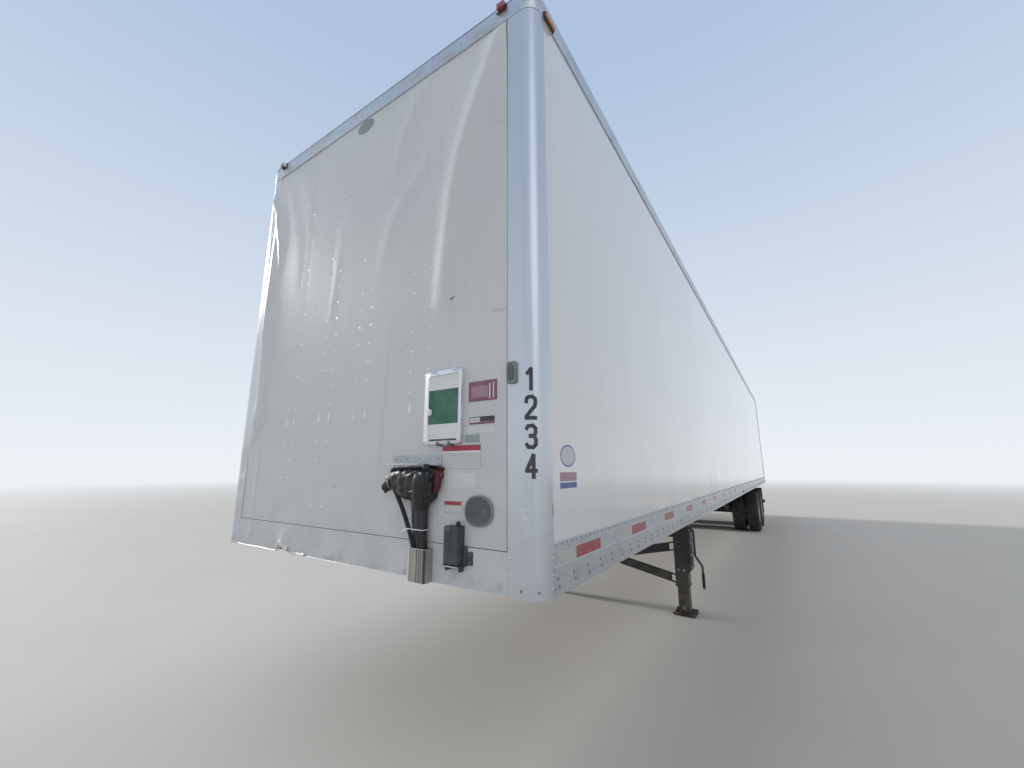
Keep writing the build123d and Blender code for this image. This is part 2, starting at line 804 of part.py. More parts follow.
def landing_crank():
    """Hand crank, hanging from its shaft on the left leg."""
    start_y = leg_y + leg_tube / 2 + bracket_d
    z = sill_z - drive_drop
    y_arm = start_y + crank_stub
    y_grip = y_arm + crank_jog_out
    z_jog = z - crank_arm
    z_grip = z_jog - crank_jog_down
    points = [
        (leg_x, start_y, z), (leg_x, y_arm, z), (leg_x, y_arm, z_jog),
        (leg_x, y_grip, z_grip), (leg_x, y_grip, z_grip - crank_grip),
    ]
    path = FilletPolyline(*points, radius=min(crank_bend_r, crank_stub * 0.8))
    section = Plane(origin=points[0], z_dir=(0, 1, 0)) * Circle(crank_r)
    return sweep(section, path=path)


# Bogie
def slider_rails():
    """Body rails that the bogie hangs from."""
    w, t = slider_rail_w / 2, slider_rail_t
    low, high = slider_rail_z, under_z
    section = [
        (slider_y - w, low), (slider_y + w, low), (slider_y + w, low + t),
        (slider_y + t / 2, low + t), (slider_y + t / 2, high - t), (slider_y + w, high - t),
        (slider_y + w, high), (slider_y - w, high), (slider_y - w, high - t),
        (slider_y - t / 2, high - t), (slider_y - t / 2, low + t), (slider_y - w, low + t),
    ]
    return both_sides(prism(section, "X", frame_x, front_x - slider_rail_back))


def arm_pin(axle_x, reach, radius):
    """A round bar on the axis that a trailing arm turns about, reach to both sides of it."""
    x = axle_x + hanger_ahead - hanger_plate_t
    z = arm_z + arm_h / 2
    return rod((x, slider_y - reach, z), (x, slider_y + reach, z), radius)


def bogie_frame():
    """Two long rails with cross bars, arm hangers and the mud flap bar."""
    rail_y = about(slider_y, bogie_rail_w)
    pieces = both_sides(block((bogie_rear_x, bogie_front_x), rail_y, (bogie_z, slider_rail_z)))
    bar_xs = [bogie_front_x - bogie_bar / 2, bogie_rear_x + bogie_bar / 2]
    plate_in = arm_w / 2 + arm_play
    plate_out = plate_in + hanger_plate_t
    hang_y = (slider_y - plate_out, slider_y + plate_out)
    hang_z = (bogie_z - hanger_h, bogie_z)
    for axle_x in axle_xs:
        hang_x = axle_x + hanger_ahead
        bar_xs.append(hang_x)
        hang_span = about(hang_x, hanger_l)
        for y in ((slider_y - plate_out, slider_y - plate_in), (slider_y + plate_in, slider_y + plate_out)):
            pieces += both_sides(block(hang_span, y, hang_z))
        front_plate = (hang_span[1] - hanger_plate_t, hang_span[1])
        pieces += both_sides(block(front_plate, hang_y, hang_z))
        pieces += both_sides(block(hang_span, hang_y, (bogie_z - hanger_plate_t, bogie_z)))
        pieces += both_sides(arm_pin(axle_x, plate_out, arm_pin_r))
    for x in bar_xs:
        pieces.append(block(about(x, bogie_bar), (-slider_y, slider_y), (bogie_z, bogie_z + bogie_bar)))
    flap_half = half_w - flap_edge
    bar_x = (bogie_rear_x - flap_bar, bogie_rear_x)
    pieces.append(block(bar_x, (-flap_half, flap_half), (slider_rail_z - flap_bar, slider_rail_z)))
    return one(*pieces)


def trailing_arm(axle_x):
    """Beam from the hanger pin over the axle to the air spring, with its axle saddle."""
    pin_at = axle_x + hanger_ahead - hanger_plate_t
    arm_y = about(slider_y, arm_w)
    beam = block((axle_x - arm_behind, pin_at + arm_h / 2), arm_y, (arm_z, arm_z + arm_h))
    saddle = block(about(axle_x, saddle_l), arm_y, (tyre_r, arm_z))
    bore = arm_pin(axle_x, arm_w / 2, arm_pin_r + panel_gap)
    around = rod((axle_x, arm_y[0], tyre_r), (axle_x, arm_y[1], tyre_r), axle_r + panel_gap)
    seat_x, seat_z = axle_x - spring_behind, arm_z + arm_h
    seat = rod((seat_x, spring_y, seat_z - spring_seat_t), (seat_x, spring_y, seat_z), spring_seat_r)
    return one(beam, saddle, seat) - bore - around


def trailing_arms():
    arms = []
    for axle_x in axle_xs:
        arms += both_sides(trailing_arm(axle_x))
    return arms


def air_spring(axle_x):
    """Bellows between two plates, from the arm to the bogie rail."""
    low, high = arm_z + arm_h, bogie_z
    outline = [
        (0, low), (spring_foot_r, low), (spring_foot_r, low + spring_foot_h),
        (spring_roll_r, low + spring_roll_h), (spring_r, (low + high) / 2),
        (spring_roll_r, high - spring_roll_h), (spring_lid_r, high - spring_lid_h),
        (spring_lid_r, high), (0, high),
    ]
    face = Plane.XZ * make_face(Polyline(*outline, close=True))
    return Pos(axle_x - spring_behind, spring_y, 0) * revolve(face, Axis.Z)


def air_springs():
    springs = []
    for axle_x in axle_xs:
        springs += both_sides(air_spring(axle_x))
    return springs


def axle(axle_x):
    """Axle tube with spindles and the round shields behind the drums."""
    tube_end = track_half - hub_in - axle_gap
    spindle_end = track_half + hub_out
    shield_end = track_half - drum_in - shield_gap
    pieces = []
    for end, radius in ((tube_end, axle_r), (spindle_end, spindle_r)):
        pieces.append(rod((axle_x, -end, tyre_r), (axle_x, end, tyre_r), radius))
    plate = rod((axle_x, shield_end - shield_t, tyre_r), (axle_x, shield_end, tyre_r), shield_r)
    pieces += both_sides(plate)
    return one(*pieces)


def axles():
    return [axle(x) for x in axle_xs]


def brake_chambers():
    """Air chambers behind the axles, each on an arm that reaches the axle tube."""
    made = []
    can_low, can_high = about(chamber_y, chamber_l)
    arm_y = (can_high, can_high + chamber_arm_t)
    arm_z_span = (tyre_r - chamber_arm_low, tyre_r + chamber_arm_high)
    for axle_x in axle_xs:
        x = axle_x - chamber_behind
        z = tyre_r + chamber_up
        can = rod((x, can_low, z), (x, can_high, z), chamber_r)
        arm = block((x, axle_x), arm_y, arm_z_span)
        around = rod((axle_x, arm_y[0], tyre_r), (axle_x, arm_y[1], tyre_r), axle_r + panel_gap)
        made += both_sides(one(can, arm) - around)
    return made


def air_tank():
    """Air reservoir across the bogie, hung from a cross bar by two straps."""
    x = bogie_front_x - bogie_bar / 2
    z = bogie_z - tank_r - tank_drop
    tank = rod((x, -tank_l / 2, z), (x, tank_l / 2, z), tank_r)
    strap = block(about(x, tank_strap), about(tank_strap_y, tank_strap), (z, bogie_z))
    return one(tank, *both_sides(strap))


def mudflaps():
    bar_x = bogie_rear_x - flap_bar
    outer_y = half_w - flap_edge
    return both_sides(block(
        (bar_x - flap_t, bar_x), (outer_y - flap_w, outer_y), (slider_rail_z - flap_h, slider_rail_z),
    ))


# Wheels
def rim_profile(sign):
    """One rim and its disc as a (y, radius) outline, from the middle plane of the pair outward."""
    near, far = about(dual_half, rim_w)
    inner, lip = bead_r - rim_t, bead_r + rim_lip_h
    seat = near + disc_seat
    outline = [
        (0, hub_r), (0, bolt_face_r), (disc_knee_y, disc_knee_r), (seat, inner - rim_t),
        (seat, inner), (near, inner), (near, lip), (near + rim_lip_t, lip),
        (near + rim_lip_t, bead_r), (far - rim_lip_t, bead_r), (far - rim_lip_t, lip), (far, lip),
        (far, inner), (seat + disc_slant_t, inner), (seat + disc_t, inner - disc_lap),
        (disc_knee_y + disc_slant_t, disc_knee_r - disc_t / 2),
        (disc_t, bolt_face_r - disc_t / 2), (disc_t, hub_r),
    ]
    return [(sign * v, r) for v, r in outline]


def wheel():
    """Hub, brake drum and both rims of a twin wheel, about the Y axis through its middle plane."""
    rims = one(turned(rim_profile(1)), turned(rim_profile(-1)))
    flange = -disc_t
    drum_out = flange - hub_flange_t
    bore = spindle_r + spindle_play
    bore_end = hub_out + spindle_play
    cap_end = hub_out + hub_cap_l
    hub = turned([
        (-hub_in, bore), (-hub_in, hub_r), (drum_out, hub_r), (drum_out, hub_flange_r),
        (flange, hub_flange_r), (flange, hub_r), (hub_out, hub_r), (hub_out, hub_cap_r),
        (cap_end, hub_cap_end_r), (cap_end, 0), (bore_end, 0), (bore_end, bore),
    ])
    drum = turned([
        (drum_out, hub_r), (drum_out, drum_r - drum_wall), (-drum_in, drum_r - drum_wall),
        (-drum_in, drum_r), (drum_out + drum_wall, drum_r), (drum_out + drum_wall, hub_r),
    ])
    made = one(rims, hub, drum)
    for i in range(hand_holes):
        angle = 2 * pi * i / hand_holes
        x, z = hand_hole_at * sin(angle), hand_hole_at * cos(angle)
        made = made - rod((x, -dual_half, z), (x, dual_half, z), hand_hole_r)
    return made


def tyre(middle):
    """Plain road tyre about the Y axis, seated between the rim's lips."""
    half = rim_w / 2 - rim_lip_t - bead_gap
    outline = [
        (-half, bead_r + bead_gap), (half, bead_r + bead_gap), (half, bead_r + rim_lip_h + bead_gap),
        (tyre_w / 2, belly_r), (shoulder_w / 2, tyre_r - shoulder_drop), (tread_w / 2, tyre_r),
    ]
    outline += [(-v, r) for v, r in reversed(outline[2:])]
    return faceted(outline, middle, tyre_facets)


def wheel_copies(shape, axle_x, side):
    """A left wheel's piece set on its axle, mirrored for the right."""
    return side_copy(Pos(axle_x, track_half, tyre_r) * shape, side)


# Fittings on the front wall
def above_sill(pair):
    """A (low, high) pair above the rails' underside as heights above the ground."""
    return (sill_z + pair[0], sill_z + pair[1])


def document_box():
    return rounded_block((skin_x, skin_x + box_d), box_y, above_sill(box_z), box_corner_r, Axis.X)


def nose_brackets():
    """Drip shield over the connectors, and the duct that takes the hoses below the nose."""
    z = above_sill(shield_z)
    back = block((skin_x, skin_x + plate_t), shield_y, z)
    ledge = block((skin_x, skin_x + shield_reach), shield_y, (z[0], z[0] + plate_t))
    duct_x = skin_x + nose_panel_t
    duct_z = above_sill((0, duct_top))
    outer = block((duct_x, duct_x + duct_d), duct_y, duct_z)
    inner_y = (duct_y[0] + plate_t, duct_y[1] - plate_t)
    inner = block((duct_x + plate_t, duct_x + duct_d - plate_t), inner_y, duct_z)
    return [one(back, ledge), outer - inner]


def connector_box():
    """Soft hood over the air and electric connectors under the drip shield, with one plug in it."""
    low, high = above_sill(connector_z)
    start, end = connector_y
    side_outline = [
        (skin_x, high), (skin_x + hood_top_d, high), (skin_x + connector_d, high - hood_brow),
        (skin_x + connector_d, low + hood_hem), (skin_x + hood_sole_d, low), (skin_x, low),
    ]
    front_outline = [
        (start, low + hood_cut_h), (start + hood_cut_w, low), (end, low), (end, high - hood_shoulder),
        (end - hood_shoulder, high), (start + 2 * hood_shoulder, high), (start, high - 2 * hood_shoulder),
    ]
    hood = prism(side_outline, "Y", start, end) & prism(front_outline, "X", skin_x, skin_x + connector_d)
    ends = [(skin_x + out, start + inside, high - down) for out, inside, down in (plug_root, plug_tip)]
    return one(hood, rod(*ends, plug_r))


def hoses(hood):
    """The taped bundle and the single hose that run from the hood into the duct."""
    duct_out = skin_x + nose_panel_t + duct_d
    duct_z = sill_z + duct_top
    low, top = duct_z - hose_end, sill_z + connector_z[0]
    bundle_x = duct_out - duct_d / 2
    far_y = duct_y[1] - plate_t - hose_gap
    faces = []
    for z, bundle_width in ((duct_z, bundle_w), (top, bundle_top_w)):
        place = Plane(origin=(bundle_x, far_y - bundle_width / 2, z))
        faces.append(place * RectangleRounded(bundle_d, bundle_width, bundle_r))
    bundle = one(loft(faces), extrude(faces[0], amount=low - duct_z))
    hose_x = duct_out - plate_t - hose_gap - hose_r
    hose_y = far_y - bundle_w - hose_gap - hose_r
    points = [
        (hose_x, connector_y[0] + hose_root[0], top + hose_root[1]),
        (hose_x, hose_y, duct_z + hose_knee),
        (hose_x, hose_y, low),
    ]
    path = FilletPolyline(*points, radius=hose_bend_r)
    section = Plane(origin=points[0], z_dir=path % 0) * Circle(hose_r)
    return [bundle, sweep(section, path=path) - hood]


def nose_boxes():
    """Electric box with its flange on the nose panel, round vent cap and marker on the post."""
    x = skin_x + nose_panel_t
    low, high = above_sill(equipment_z)
    step = low + equipment_flange_h
    box = rounded_block((x, x + equipment_d), equipment_y, (step, high), equipment_r, Axis.X)
    flange = block((x, x + equipment_flange_t), equipment_y, (low, step + equipment_r))
    backing = block((skin_x, x), equipment_y, (sill_z + nose_panel_h, high))
    cap_z = sill_z + vent_at[1]
    cap = rod((skin_x, vent_y, cap_z), (skin_x + vent_d, vent_y, cap_z), vent_r)
    face = front_x - post_inset
    marker = rounded_block((face, face + marker_d), marker_y, above_sill(marker_z), marker_r, Axis.X)
    return [one(box, flange, backing), cap, marker]


def all_parts():
    """Every node's name with its solid, or with its list of solids."""
    hood = connector_box()
    butts = hinge_butts()
    parts = {
        "front_wall": front_wall(),
        "nose_panel": nose_panel(),
        "corner_posts": both_sides(corner_post()),
        "bottom_rails": both_sides(bottom_rail()),
        "top_rails": both_sides(top_rail_side()),
        "top_rail_front": top_rail_front(),
        "roof_sheet": roof_sheet(),
        "roof_bows": roof_bows(),
        "floor_deck": floor_deck(),
        "crossmembers": crossmembers(),
        "upper_coupler": upper_coupler(),
        "kingpin": kingpin(),
        "rear_frame": rear_frame(),
        "hinge_butts": butts + [mirror(b, Plane.XZ) for b in butts],
        "red_lamps": red_lamps(),
        "amber_lamps": amber_lamps(),
        "underride_guard": underride_guard(),
        "landing_legs": both_sides(landing_leg()),
        "landing_feet": both_sides(landing_foot()),
        "leg_brace": leg_brace(),
        "landing_drive": landing_drive(),
        "landing_crank": landing_crank(),
        "slider_rails": slider_rails(),
        "bogie_frame": bogie_frame(),
        "trailing_arms": trailing_arms(),
        "air_springs": air_springs(),
        "axles": axles(),
        "brake_chambers": brake_chambers(),
        "air_tank": air_tank(),
        "mudflaps": mudflaps(),
        "document_box": document_box(),
        "nose_brackets": nose_brackets(),
        "connector_box": hood,
        "hoses": hoses(hood),
        "nose_boxes": nose_boxes(),
    }
    leaf, hardware = door_leaf(), door_hardware()
    for name, side in sides.items():
        parts["side_wall_" + name] = side_copy(side_wall(), side)
        parts["door_" + name] = side_copy(leaf, side)
        parts["door_hardware_" + name] = [side_copy(s, side) for s in hardware]
    hub = wheel()
    tyres = [tyre(dual_half), tyre(-dual_half)]
    for place, axle_x in zip(("front", "rear"), axle_xs):
        for name, side in sides.items():
            parts["wheel_" + place + "_" + name] = wheel_copies(hub, axle_x, side)
            parts["tyres_" + place + "_" + name] = [wheel_copies(t, axle_x, side) for t in tyres]
    return parts


os.makedirs("parts", exist_ok=True)
for node, shape in all_parts().items():
    solids = shape if isinstance(shape, list) else [shape]
    flat = [s for one_shape in solids for s in one_shape.solids()]
    export_step(flat[0] if len(flat) == 1 else Compound(children=flat), "parts/" + node + ".step")
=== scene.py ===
"""Looks of the parked box semi trailer: finishes, dented front skin, rivets, fittings and tyres.

Metres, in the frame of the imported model: +X to the front, +Y to the trailer's left and +Z up.
"""
from math import cos, hypot, pi, radians, sin

import bmesh
import bpy
import numpy as np
from mathutils import Matrix, Vector, noise


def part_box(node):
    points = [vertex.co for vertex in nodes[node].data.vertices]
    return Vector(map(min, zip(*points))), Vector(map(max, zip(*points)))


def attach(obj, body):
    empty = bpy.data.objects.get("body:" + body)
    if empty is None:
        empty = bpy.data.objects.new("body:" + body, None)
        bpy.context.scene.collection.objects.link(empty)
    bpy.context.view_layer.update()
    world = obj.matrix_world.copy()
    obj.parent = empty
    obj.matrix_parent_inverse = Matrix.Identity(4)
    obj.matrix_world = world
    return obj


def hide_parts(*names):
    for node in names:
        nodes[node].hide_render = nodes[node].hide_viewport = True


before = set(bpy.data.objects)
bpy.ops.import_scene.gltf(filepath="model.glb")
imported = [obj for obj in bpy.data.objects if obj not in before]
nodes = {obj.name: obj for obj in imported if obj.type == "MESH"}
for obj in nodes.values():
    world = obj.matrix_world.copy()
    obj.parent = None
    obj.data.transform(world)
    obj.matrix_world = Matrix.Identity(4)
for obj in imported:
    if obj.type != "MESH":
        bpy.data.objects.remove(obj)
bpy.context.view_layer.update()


def middle_xz(name):
    """X and Z of a node's middle."""
    low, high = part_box(name)
    return (low.x + high.x) / 2, (low.z + high.z) / 2


# Places read from the frame
wall_low, wall_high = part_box("front_wall")
rail_low, rail_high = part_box("bottom_rails")
top_low, top_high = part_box("top_rail_front")
post_low, post_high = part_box("corner_posts")
side_low, side_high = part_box("side_wall_left")
frame_low, frame_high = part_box("rear_frame")
deck_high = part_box("floor_deck")[1]
nose_low, nose_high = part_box("nose_panel")
sill = wall_low.z
skin_x = wall_high.x
front_x = top_high.x
half_w = rail_high.y
rear_x = frame_low.x
body_top = top_high.z
wall_y = side_high.y
seam_y = nose_high.y
rail_top = rail_high.z
top_rail_z = top_low.z
axles = [middle_xz("tyres_" + place + "_left") for place in ("front", "rear")]
axle_xs = [x for x, z in axles]
axle_z = axles[0][1]

# Places that no node's box gives, from the middle line unless named otherwise
SIDES = {"left": 1, "right": -1}
POST_ROUND_R = 0.082
WHEEL_Y = 0.984
ROD_YS = (0.430, 0.900)
HINGE_Y = 1.2835
TAIL_LAMP_YS = (1.020, 1.150)
SLIDER_Y = 0.560
KINGPIN_X = front_x - 0.914
COUPLER_L = 1.520
BEAM_PITCH = 0.305
beam_xs = (frame_high.x + BEAM_PITCH / 2, skin_x - 0.040 - COUPLER_L - BEAM_PITCH / 2)

# Camera of the photograph, as distances from the front, the middle line and the rails' underside
camera_at = (1.484, 2.135, 0.504)
camera_yaw, camera_pitch, camera_roll = radians(213.41), radians(11.50), radians(-0.09)
camera_focus_px = 415.1
picture_w_px = 1024
sensor_mm = 36.0

# Colours
WHITE = (0.74, 0.755, 0.775)
DUST = (0.42, 0.36, 0.29)
GRIME = (0.13, 0.12, 0.11)
RUST = (0.23, 0.085, 0.035)
BACKDROP_LOW = (0.84, 0.88, 0.92)
BACKDROP_HIGH = (0.42, 0.55, 0.74)


# Materials
def add_node(tree, kind, links=(), **settings):
    """A new node; links gives its inputs, by name or number, as values or as outputs."""
    made = tree.nodes.new(kind)
    for key, value in settings.items():
        setattr(made, key, value)
    for key, value in dict(links).items():
        if isinstance(value, bpy.types.NodeSocket):
            tree.links.new(value, made.inputs[key])
        else:
            made.inputs[key].default_value = value
    return made


def tint(colour, share, lift=0.0):
    """The colour times share, plus lift, at most 1."""
    return tuple(min(1, c * share + lift) for c in colour)


class Finish:
    """A node material whose pattern follows the object's own coordinates."""

    def __init__(self, name, colour, roughness, metallic=0.0, **sockets):
        self.material = bpy.data.materials.new(name)
        self.material.use_nodes = True
        self.tree = self.material.node_tree
        self.shader = self.tree.nodes["Principled BSDF"]
        self.place = self.node("ShaderNodeTexCoord").outputs["Object"]
        self.colour = colour
        self.roughness = roughness
        self.shader.inputs["Metallic"].default_value = metallic
        self.shader.inputs["Roughness"].default_value = roughness
        for key, value in sockets.items():
            self.shader.inputs[key.replace("_", " ")].default_value = value

    def node(self, kind, links=(), **settings):
        return add_node(self.tree, kind, links, **settings)

    def noise(self, scale, detail=4.0, stretch=(1, 1, 1)):
        """Cloudy pattern with `scale` blotches in a metre, from 0 to 1."""
        moved = self.node("ShaderNodeMapping", {"Vector": self.place, "Scale": stretch}).outputs[0]
        return self.node("ShaderNodeTexNoise", {"Vector": moved, "Scale": scale, "Detail": detail}).outputs[0]

    def cells(self, scale, feature="F1"):
        links = {"Vector": self.place, "Scale": scale}
        return self.node("ShaderNodeTexVoronoi", links, feature=feature).outputs["Distance"]

    def along(self, axis):
        """The coordinate along X, Y or Z."""
        return self.node("ShaderNodeSeparateXYZ", {0: self.place}).outputs[axis]

    def step(self, value, low, high):
        """0 at or under low, 1 at or over high; low may be the larger one."""
        links = {"Value": value, "From Min": low, "From Max": high}
        return self.node("ShaderNodeMapRange", links, interpolation_type="SMOOTHSTEP").outputs[0]

    def clouds(self, scale, detail, low, high, stretch=(1, 1, 1)):
        """A mask that is 1 where the noise is over high and 0 where it is under low."""
        return self.step(self.noise(scale, detail, stretch), low, high)

    def above_sill(self, none, full):
        """A mask by height: 0 at `none` and 1 at `full`, both measured from the sill."""
        return self.step(self.along("Z"), sill + none, sill + full)

    def math(self, operation, a, b=0.0):
        return self.node("ShaderNodeMath", {0: a, 1: b}, operation=operation).outputs[0]

    def times(self, *values):
        made = values[0]
        for value in values[1:]:
            made = self.math("MULTIPLY", made, value)
        return made

    def shade(self, colour, *factors):
        """Mixes another colour over the colour so far, by the product of the factors."""
        now = self.colour if isinstance(self.colour, bpy.types.NodeSocket) else (*self.colour, 1)
        links = {0: self.times(*factors), 6: now, 7: (*colour, 1)}
        self.colour = self.node("ShaderNodeMix", links, data_type="RGBA").outputs[2]
        return self

    def stain(self, colour, amount, *clouds, within=None):
        """Mixes a colour over in clouds, by `amount` at most and inside a mask; gives the clouds' mask."""
        mask = self.clouds(*clouds)
        self.shade(colour, *([mask] if within is None else [within, mask]), amount)
        return mask

    def rough(self, value, *factors):
        """Mixes another roughness over the roughness so far, by the product of the factors."""
        links = {0: self.times(*factors), 2: self.roughness, 3: value}
        self.roughness = self.node("ShaderNodeMix", links).outputs[0]
        return self

    def bump(self, height, depth, strength=1.0):
        """Raises the surface by height, where depth is what 1 stands for in metres."""
        links = {"Height": height, "Distance": depth, "Strength": strength}
        if self.shader.inputs["Normal"].is_linked:
            links["Normal"] = self.shader.inputs["Normal"].links[0].from_socket
        normal = self.node("ShaderNodeBump", links).outputs[0]
        self.tree.links.new(normal, self.shader.inputs["Normal"])
        return self

    def done(self):
        for key, value in (("Base Color", self.colour), ("Roughness", self.roughness)):
            if isinstance(value, bpy.types.NodeSocket):
                self.tree.links.new(value, self.shader.inputs[key])
        return self.material


def side_paint():
    """Glossy white coil coat with faint waves, run marks and road dust low down."""
    f = Finish("side_paint", WHITE, 0.12, Coat_Weight=0.8, Coat_Roughness=0.04)
    f.stain((0.66, 0.68, 0.71), 0.25, 0.7, 3.0, 0.35, 0.75)
    streak = f.stain((0.60, 0.60, 0.58), 0.30, 9.0, 5.0, 0.52, 0.80, (1, 1, 0.04))
    low = f.above_sill(0.9, 0.1)
    cloud = f.stain((0.56, 0.52, 0.47), 0.40, 3.0, 6.0, 0.42, 0.70, (1, 1, 0.5), within=low)
    f.stain((0.45, 0.42, 0.38), 0.5, 60.0, 2.0, 0.70, 0.76)
    f.rough(0.38, low, cloud).rough(0.30, streak, 0.5)
    f.bump(f.noise(1.3, 1.0, (1, 1, 0.35)), 0.010, 0.35)
    return f.done()


def front_paint():
    """White front skin: its base is greyer than the side's white, partly for chalking and partly as painted
    shade; dark runs under the rivets, scuffs and grime at its foot.
    """
    # Base tone below the side paint's white: partly chalking, partly painted shade.
    f = Finish("front_paint", (0.62, 0.64, 0.665), 0.34, Coat_Weight=0.12, Coat_Roughness=0.25)
    f.stain((0.54, 0.56, 0.59), 0.30, 1.6, 5.0, 0.40, 0.72)
    run = f.stain((0.42, 0.425, 0.43), 0.20, 26.0, 4.0, 0.56, 0.78, (1, 1, 0.03))
    foot = f.above_sill(0.75, 0.0)
    dirt = f.stain((0.38, 0.37, 0.35), 0.25, 5.0, 7.0, 0.40, 0.72, within=foot)
    f.stain(GRIME, 0.30, 17.0, 7.0, 0.50, 0.70, within=f.above_sill(0.09, 0.01))
    scuff = f.clouds(40.0, 3.0, 0.66, 0.74, (1, 0.25, 1))
    f.stain((0.32, 0.32, 0.32), 0.35, 3.0, 2.0, 0.5, 0.6, within=scuff)
    f.rough(0.55, foot, dirt).rough(0.42, run)
    f.bump(f.noise(220.0, 2.0), 0.0004, 0.3)
    return f.done()


def aluminium(name, tone, rough, dirt_amount, grain=(1, 1, 0.02)):
    """Mill finish aluminium, with drawing lines along the grain, stains and rubbed spots."""
    f = Finish(name, tone, rough, metallic=0.85)
    f.stain(tint(tone, 0.82), 0.5, 2.2, 5.0, 0.35, 0.70)
    line = f.noise(90.0, 3.0, grain)
    f.shade(tint(tone, 0.6), f.step(line, 0.45, 0.75), 0.22)
    dirt = f.stain((0.34, 0.31, 0.27), dirt_amount, 7.0, 7.0, 0.52, 0.72)
    f.stain((0.26, 0.25, 0.24), 0.6, 70.0, 2.0, 0.68, 0.73, (1, 1, 0.5))
    f.rough(rough + 0.3, dirt, 0.8).rough(rough + 0.1, f.step(line, 0.4, 0.8))
    f.bump(line, 0.0008, 0.25)
    return f.done()


def post_aluminium():
    """The front corner posts: bright aluminium, scraped and smudged near their feet."""
    f = Finish("post_aluminium", (0.60, 0.635, 0.68), 0.30, metallic=0.7)
    line = f.noise(70.0, 3.0, (1, 1, 0.015))
    f.shade((0.44, 0.47, 0.51), f.step(line, 0.45, 0.8), 0.18)
    f.stain((0.52, 0.54, 0.57), 0.30, 2.5, 6.0, 0.45, 0.75)
    foot = f.above_sill(0.62, 0.12)
    smudge = f.stain((0.30, 0.29, 0.28), 0.22, 9.0, 8.0, 0.44, 0.66, (1, 1, 0.6), within=foot)
    scrape = f.clouds(30.0, 5.0, 0.62, 0.70, (1, 0.4, 1.0))
    f.shade((0.74, 0.75, 0.76), scrape, f.above_sill(1.0, 0.2), 0.55)
    f.rough(0.55, foot, smudge).rough(0.32, f.step(line, 0.4, 0.8))
    f.bump(f.noise(6.0, 2.0, (1, 1, 0.3)), 0.0025, 0.35).bump(line, 0.0006, 0.2)
    return f.done()


def galvanised(name="galvanised", tone=(0.53, 0.54, 0.55), metallic=0.75):
    """Zinc with its crystal flowers, dull streaks and first rust."""
    f = Finish(name, tone, 0.42, metallic=metallic)
    f.shade(tint(tone, 0.75), f.step(f.cells(55.0), 0.1, 0.6), 0.30)
    f.stain([c * k for c, k in zip(tone, (0.68, 0.63, 0.56))], 0.45, 4.0, 6.0, 0.5, 0.75, (1, 1, 0.3))
    rust = f.stain(RUST, 0.75, 14.0, 8.0, 0.64, 0.74)
    f.rough(0.85, rust).bump(f.cells(55.0), 0.0005, 0.3)
    return f.done()


def chassis_paint():
    """Black chassis paint with dust on it and rust at chips."""
    f = Finish("chassis_paint", (0.028, 0.028, 0.031), 0.45)
    f.stain((0.14, 0.125, 0.105), 0.40, 3.5, 6.0, 0.42, 0.75)
    f.stain((0.24, 0.20, 0.155), 0.5, 8.0, 6.0, 0.35, 0.7, within=f.step(f.along("Z"), 0.75, 0.0))
    chip = f.stain(RUST, 0.8, 28.0, 7.0, 0.64, 0.70)
    f.rough(0.72, f.clouds(6.0, 5.0, 0.4, 0.7))
    f.bump(f.noise(160.0, 3.0), 0.0006, 0.35).bump(chip, 0.0008, 0.4)
    return f.done()


def bare_steel(name="bare_steel", tone=(0.30, 0.285, 0.27)):
    """Steel that shines where it rubs and rusts elsewhere."""
    f = Finish(name, tone, 0.36, metallic=0.85)
    rust = f.stain(RUST, 0.8, 18.0, 8.0, 0.44, 0.66)
    f.rough(0.8, rust).bump(f.noise(150.0, 4.0), 0.0006, 0.4)
    return f.done()


def rubber():
    """Black rubber, greyed by dust in its hollows."""
    f = Finish("rubber", (0.022, 0.022, 0.023), 0.72, Specular_IOR_Level=0.35)
    f.stain((0.085, 0.077, 0.066), 0.35, 5.0, 9.0, 0.30, 0.80)
    f.stain((0.10, 0.095, 0.09), 0.20, 70.0, 3.0, 0.55, 0.7)
    f.rough(0.88, f.clouds(14.0, 4.0, 0.4, 0.7)).bump(f.noise(320.0, 3.0), 0.0005, 0.4)
    return f.done()


def tyre_rubber():
    """Tyre rubber with road dust in rings: by the bead and on the shoulder, thin between them."""
    f = Finish("tyre_rubber", (0.021, 0.021, 0.022), 0.80, Specular_IOR_Level=0.30)
    middle, half = sum(axle_xs) / 2, abs(axle_xs[0] - axle_xs[1]) / 2
    ahead = f.math("SUBTRACT", f.math("ABSOLUTE", f.math("SUBTRACT", f.along("X"), middle)), half)
    above = f.math("SUBTRACT", f.along("Z"), axle_z)
    r = f.math("SQRT", f.math("ADD", f.times(ahead, ahead), f.times(above, above)))
    f.stain((0.050, 0.046, 0.040), 0.60, 3.0, 9.0, 0.25, 0.80)
    rings = f.math("MAXIMUM", f.step(r, 0.375, 0.295), f.times(f.step(r, 0.425, 0.485), 0.75))
    cloud = f.stain((0.105, 0.093, 0.076), 0.75, 7.0, 9.0, 0.20, 0.80, within=rings)
    f.stain((0.12, 0.11, 0.095), 0.25, 90.0, 3.0, 0.58, 0.72)
    f.rough(0.92, rings, cloud)
    line_pitch = 0.0042
    line = f.math("SINE", f.times(r, 2 * pi / line_pitch))
    band = f.times(f.step(r, 0.385, 0.388), f.step(r, 0.409, 0.406))
    f.bump(f.times(line, band), 0.0006, 0.5).bump(f.noise(320.0, 3.0), 0.0005, 0.4)
    return f.done()


def wheel_paint():
    """White wheel paint with dirt and rust runs."""
    f = Finish("wheel_paint", (0.68, 0.68, 0.665), 0.38, Coat_Weight=0.2, Coat_Roughness=0.25)
    f.stain((0.40, 0.36, 0.30), 0.55, 7.0, 7.0, 0.40, 0.72)
    rust = f.stain(RUST, 0.8, 24.0, 8.0, 0.60, 0.70)
    f.rough(0.8, rust).bump(f.noise(120.0, 3.0), 0.0005, 0.3)
    return f.done()


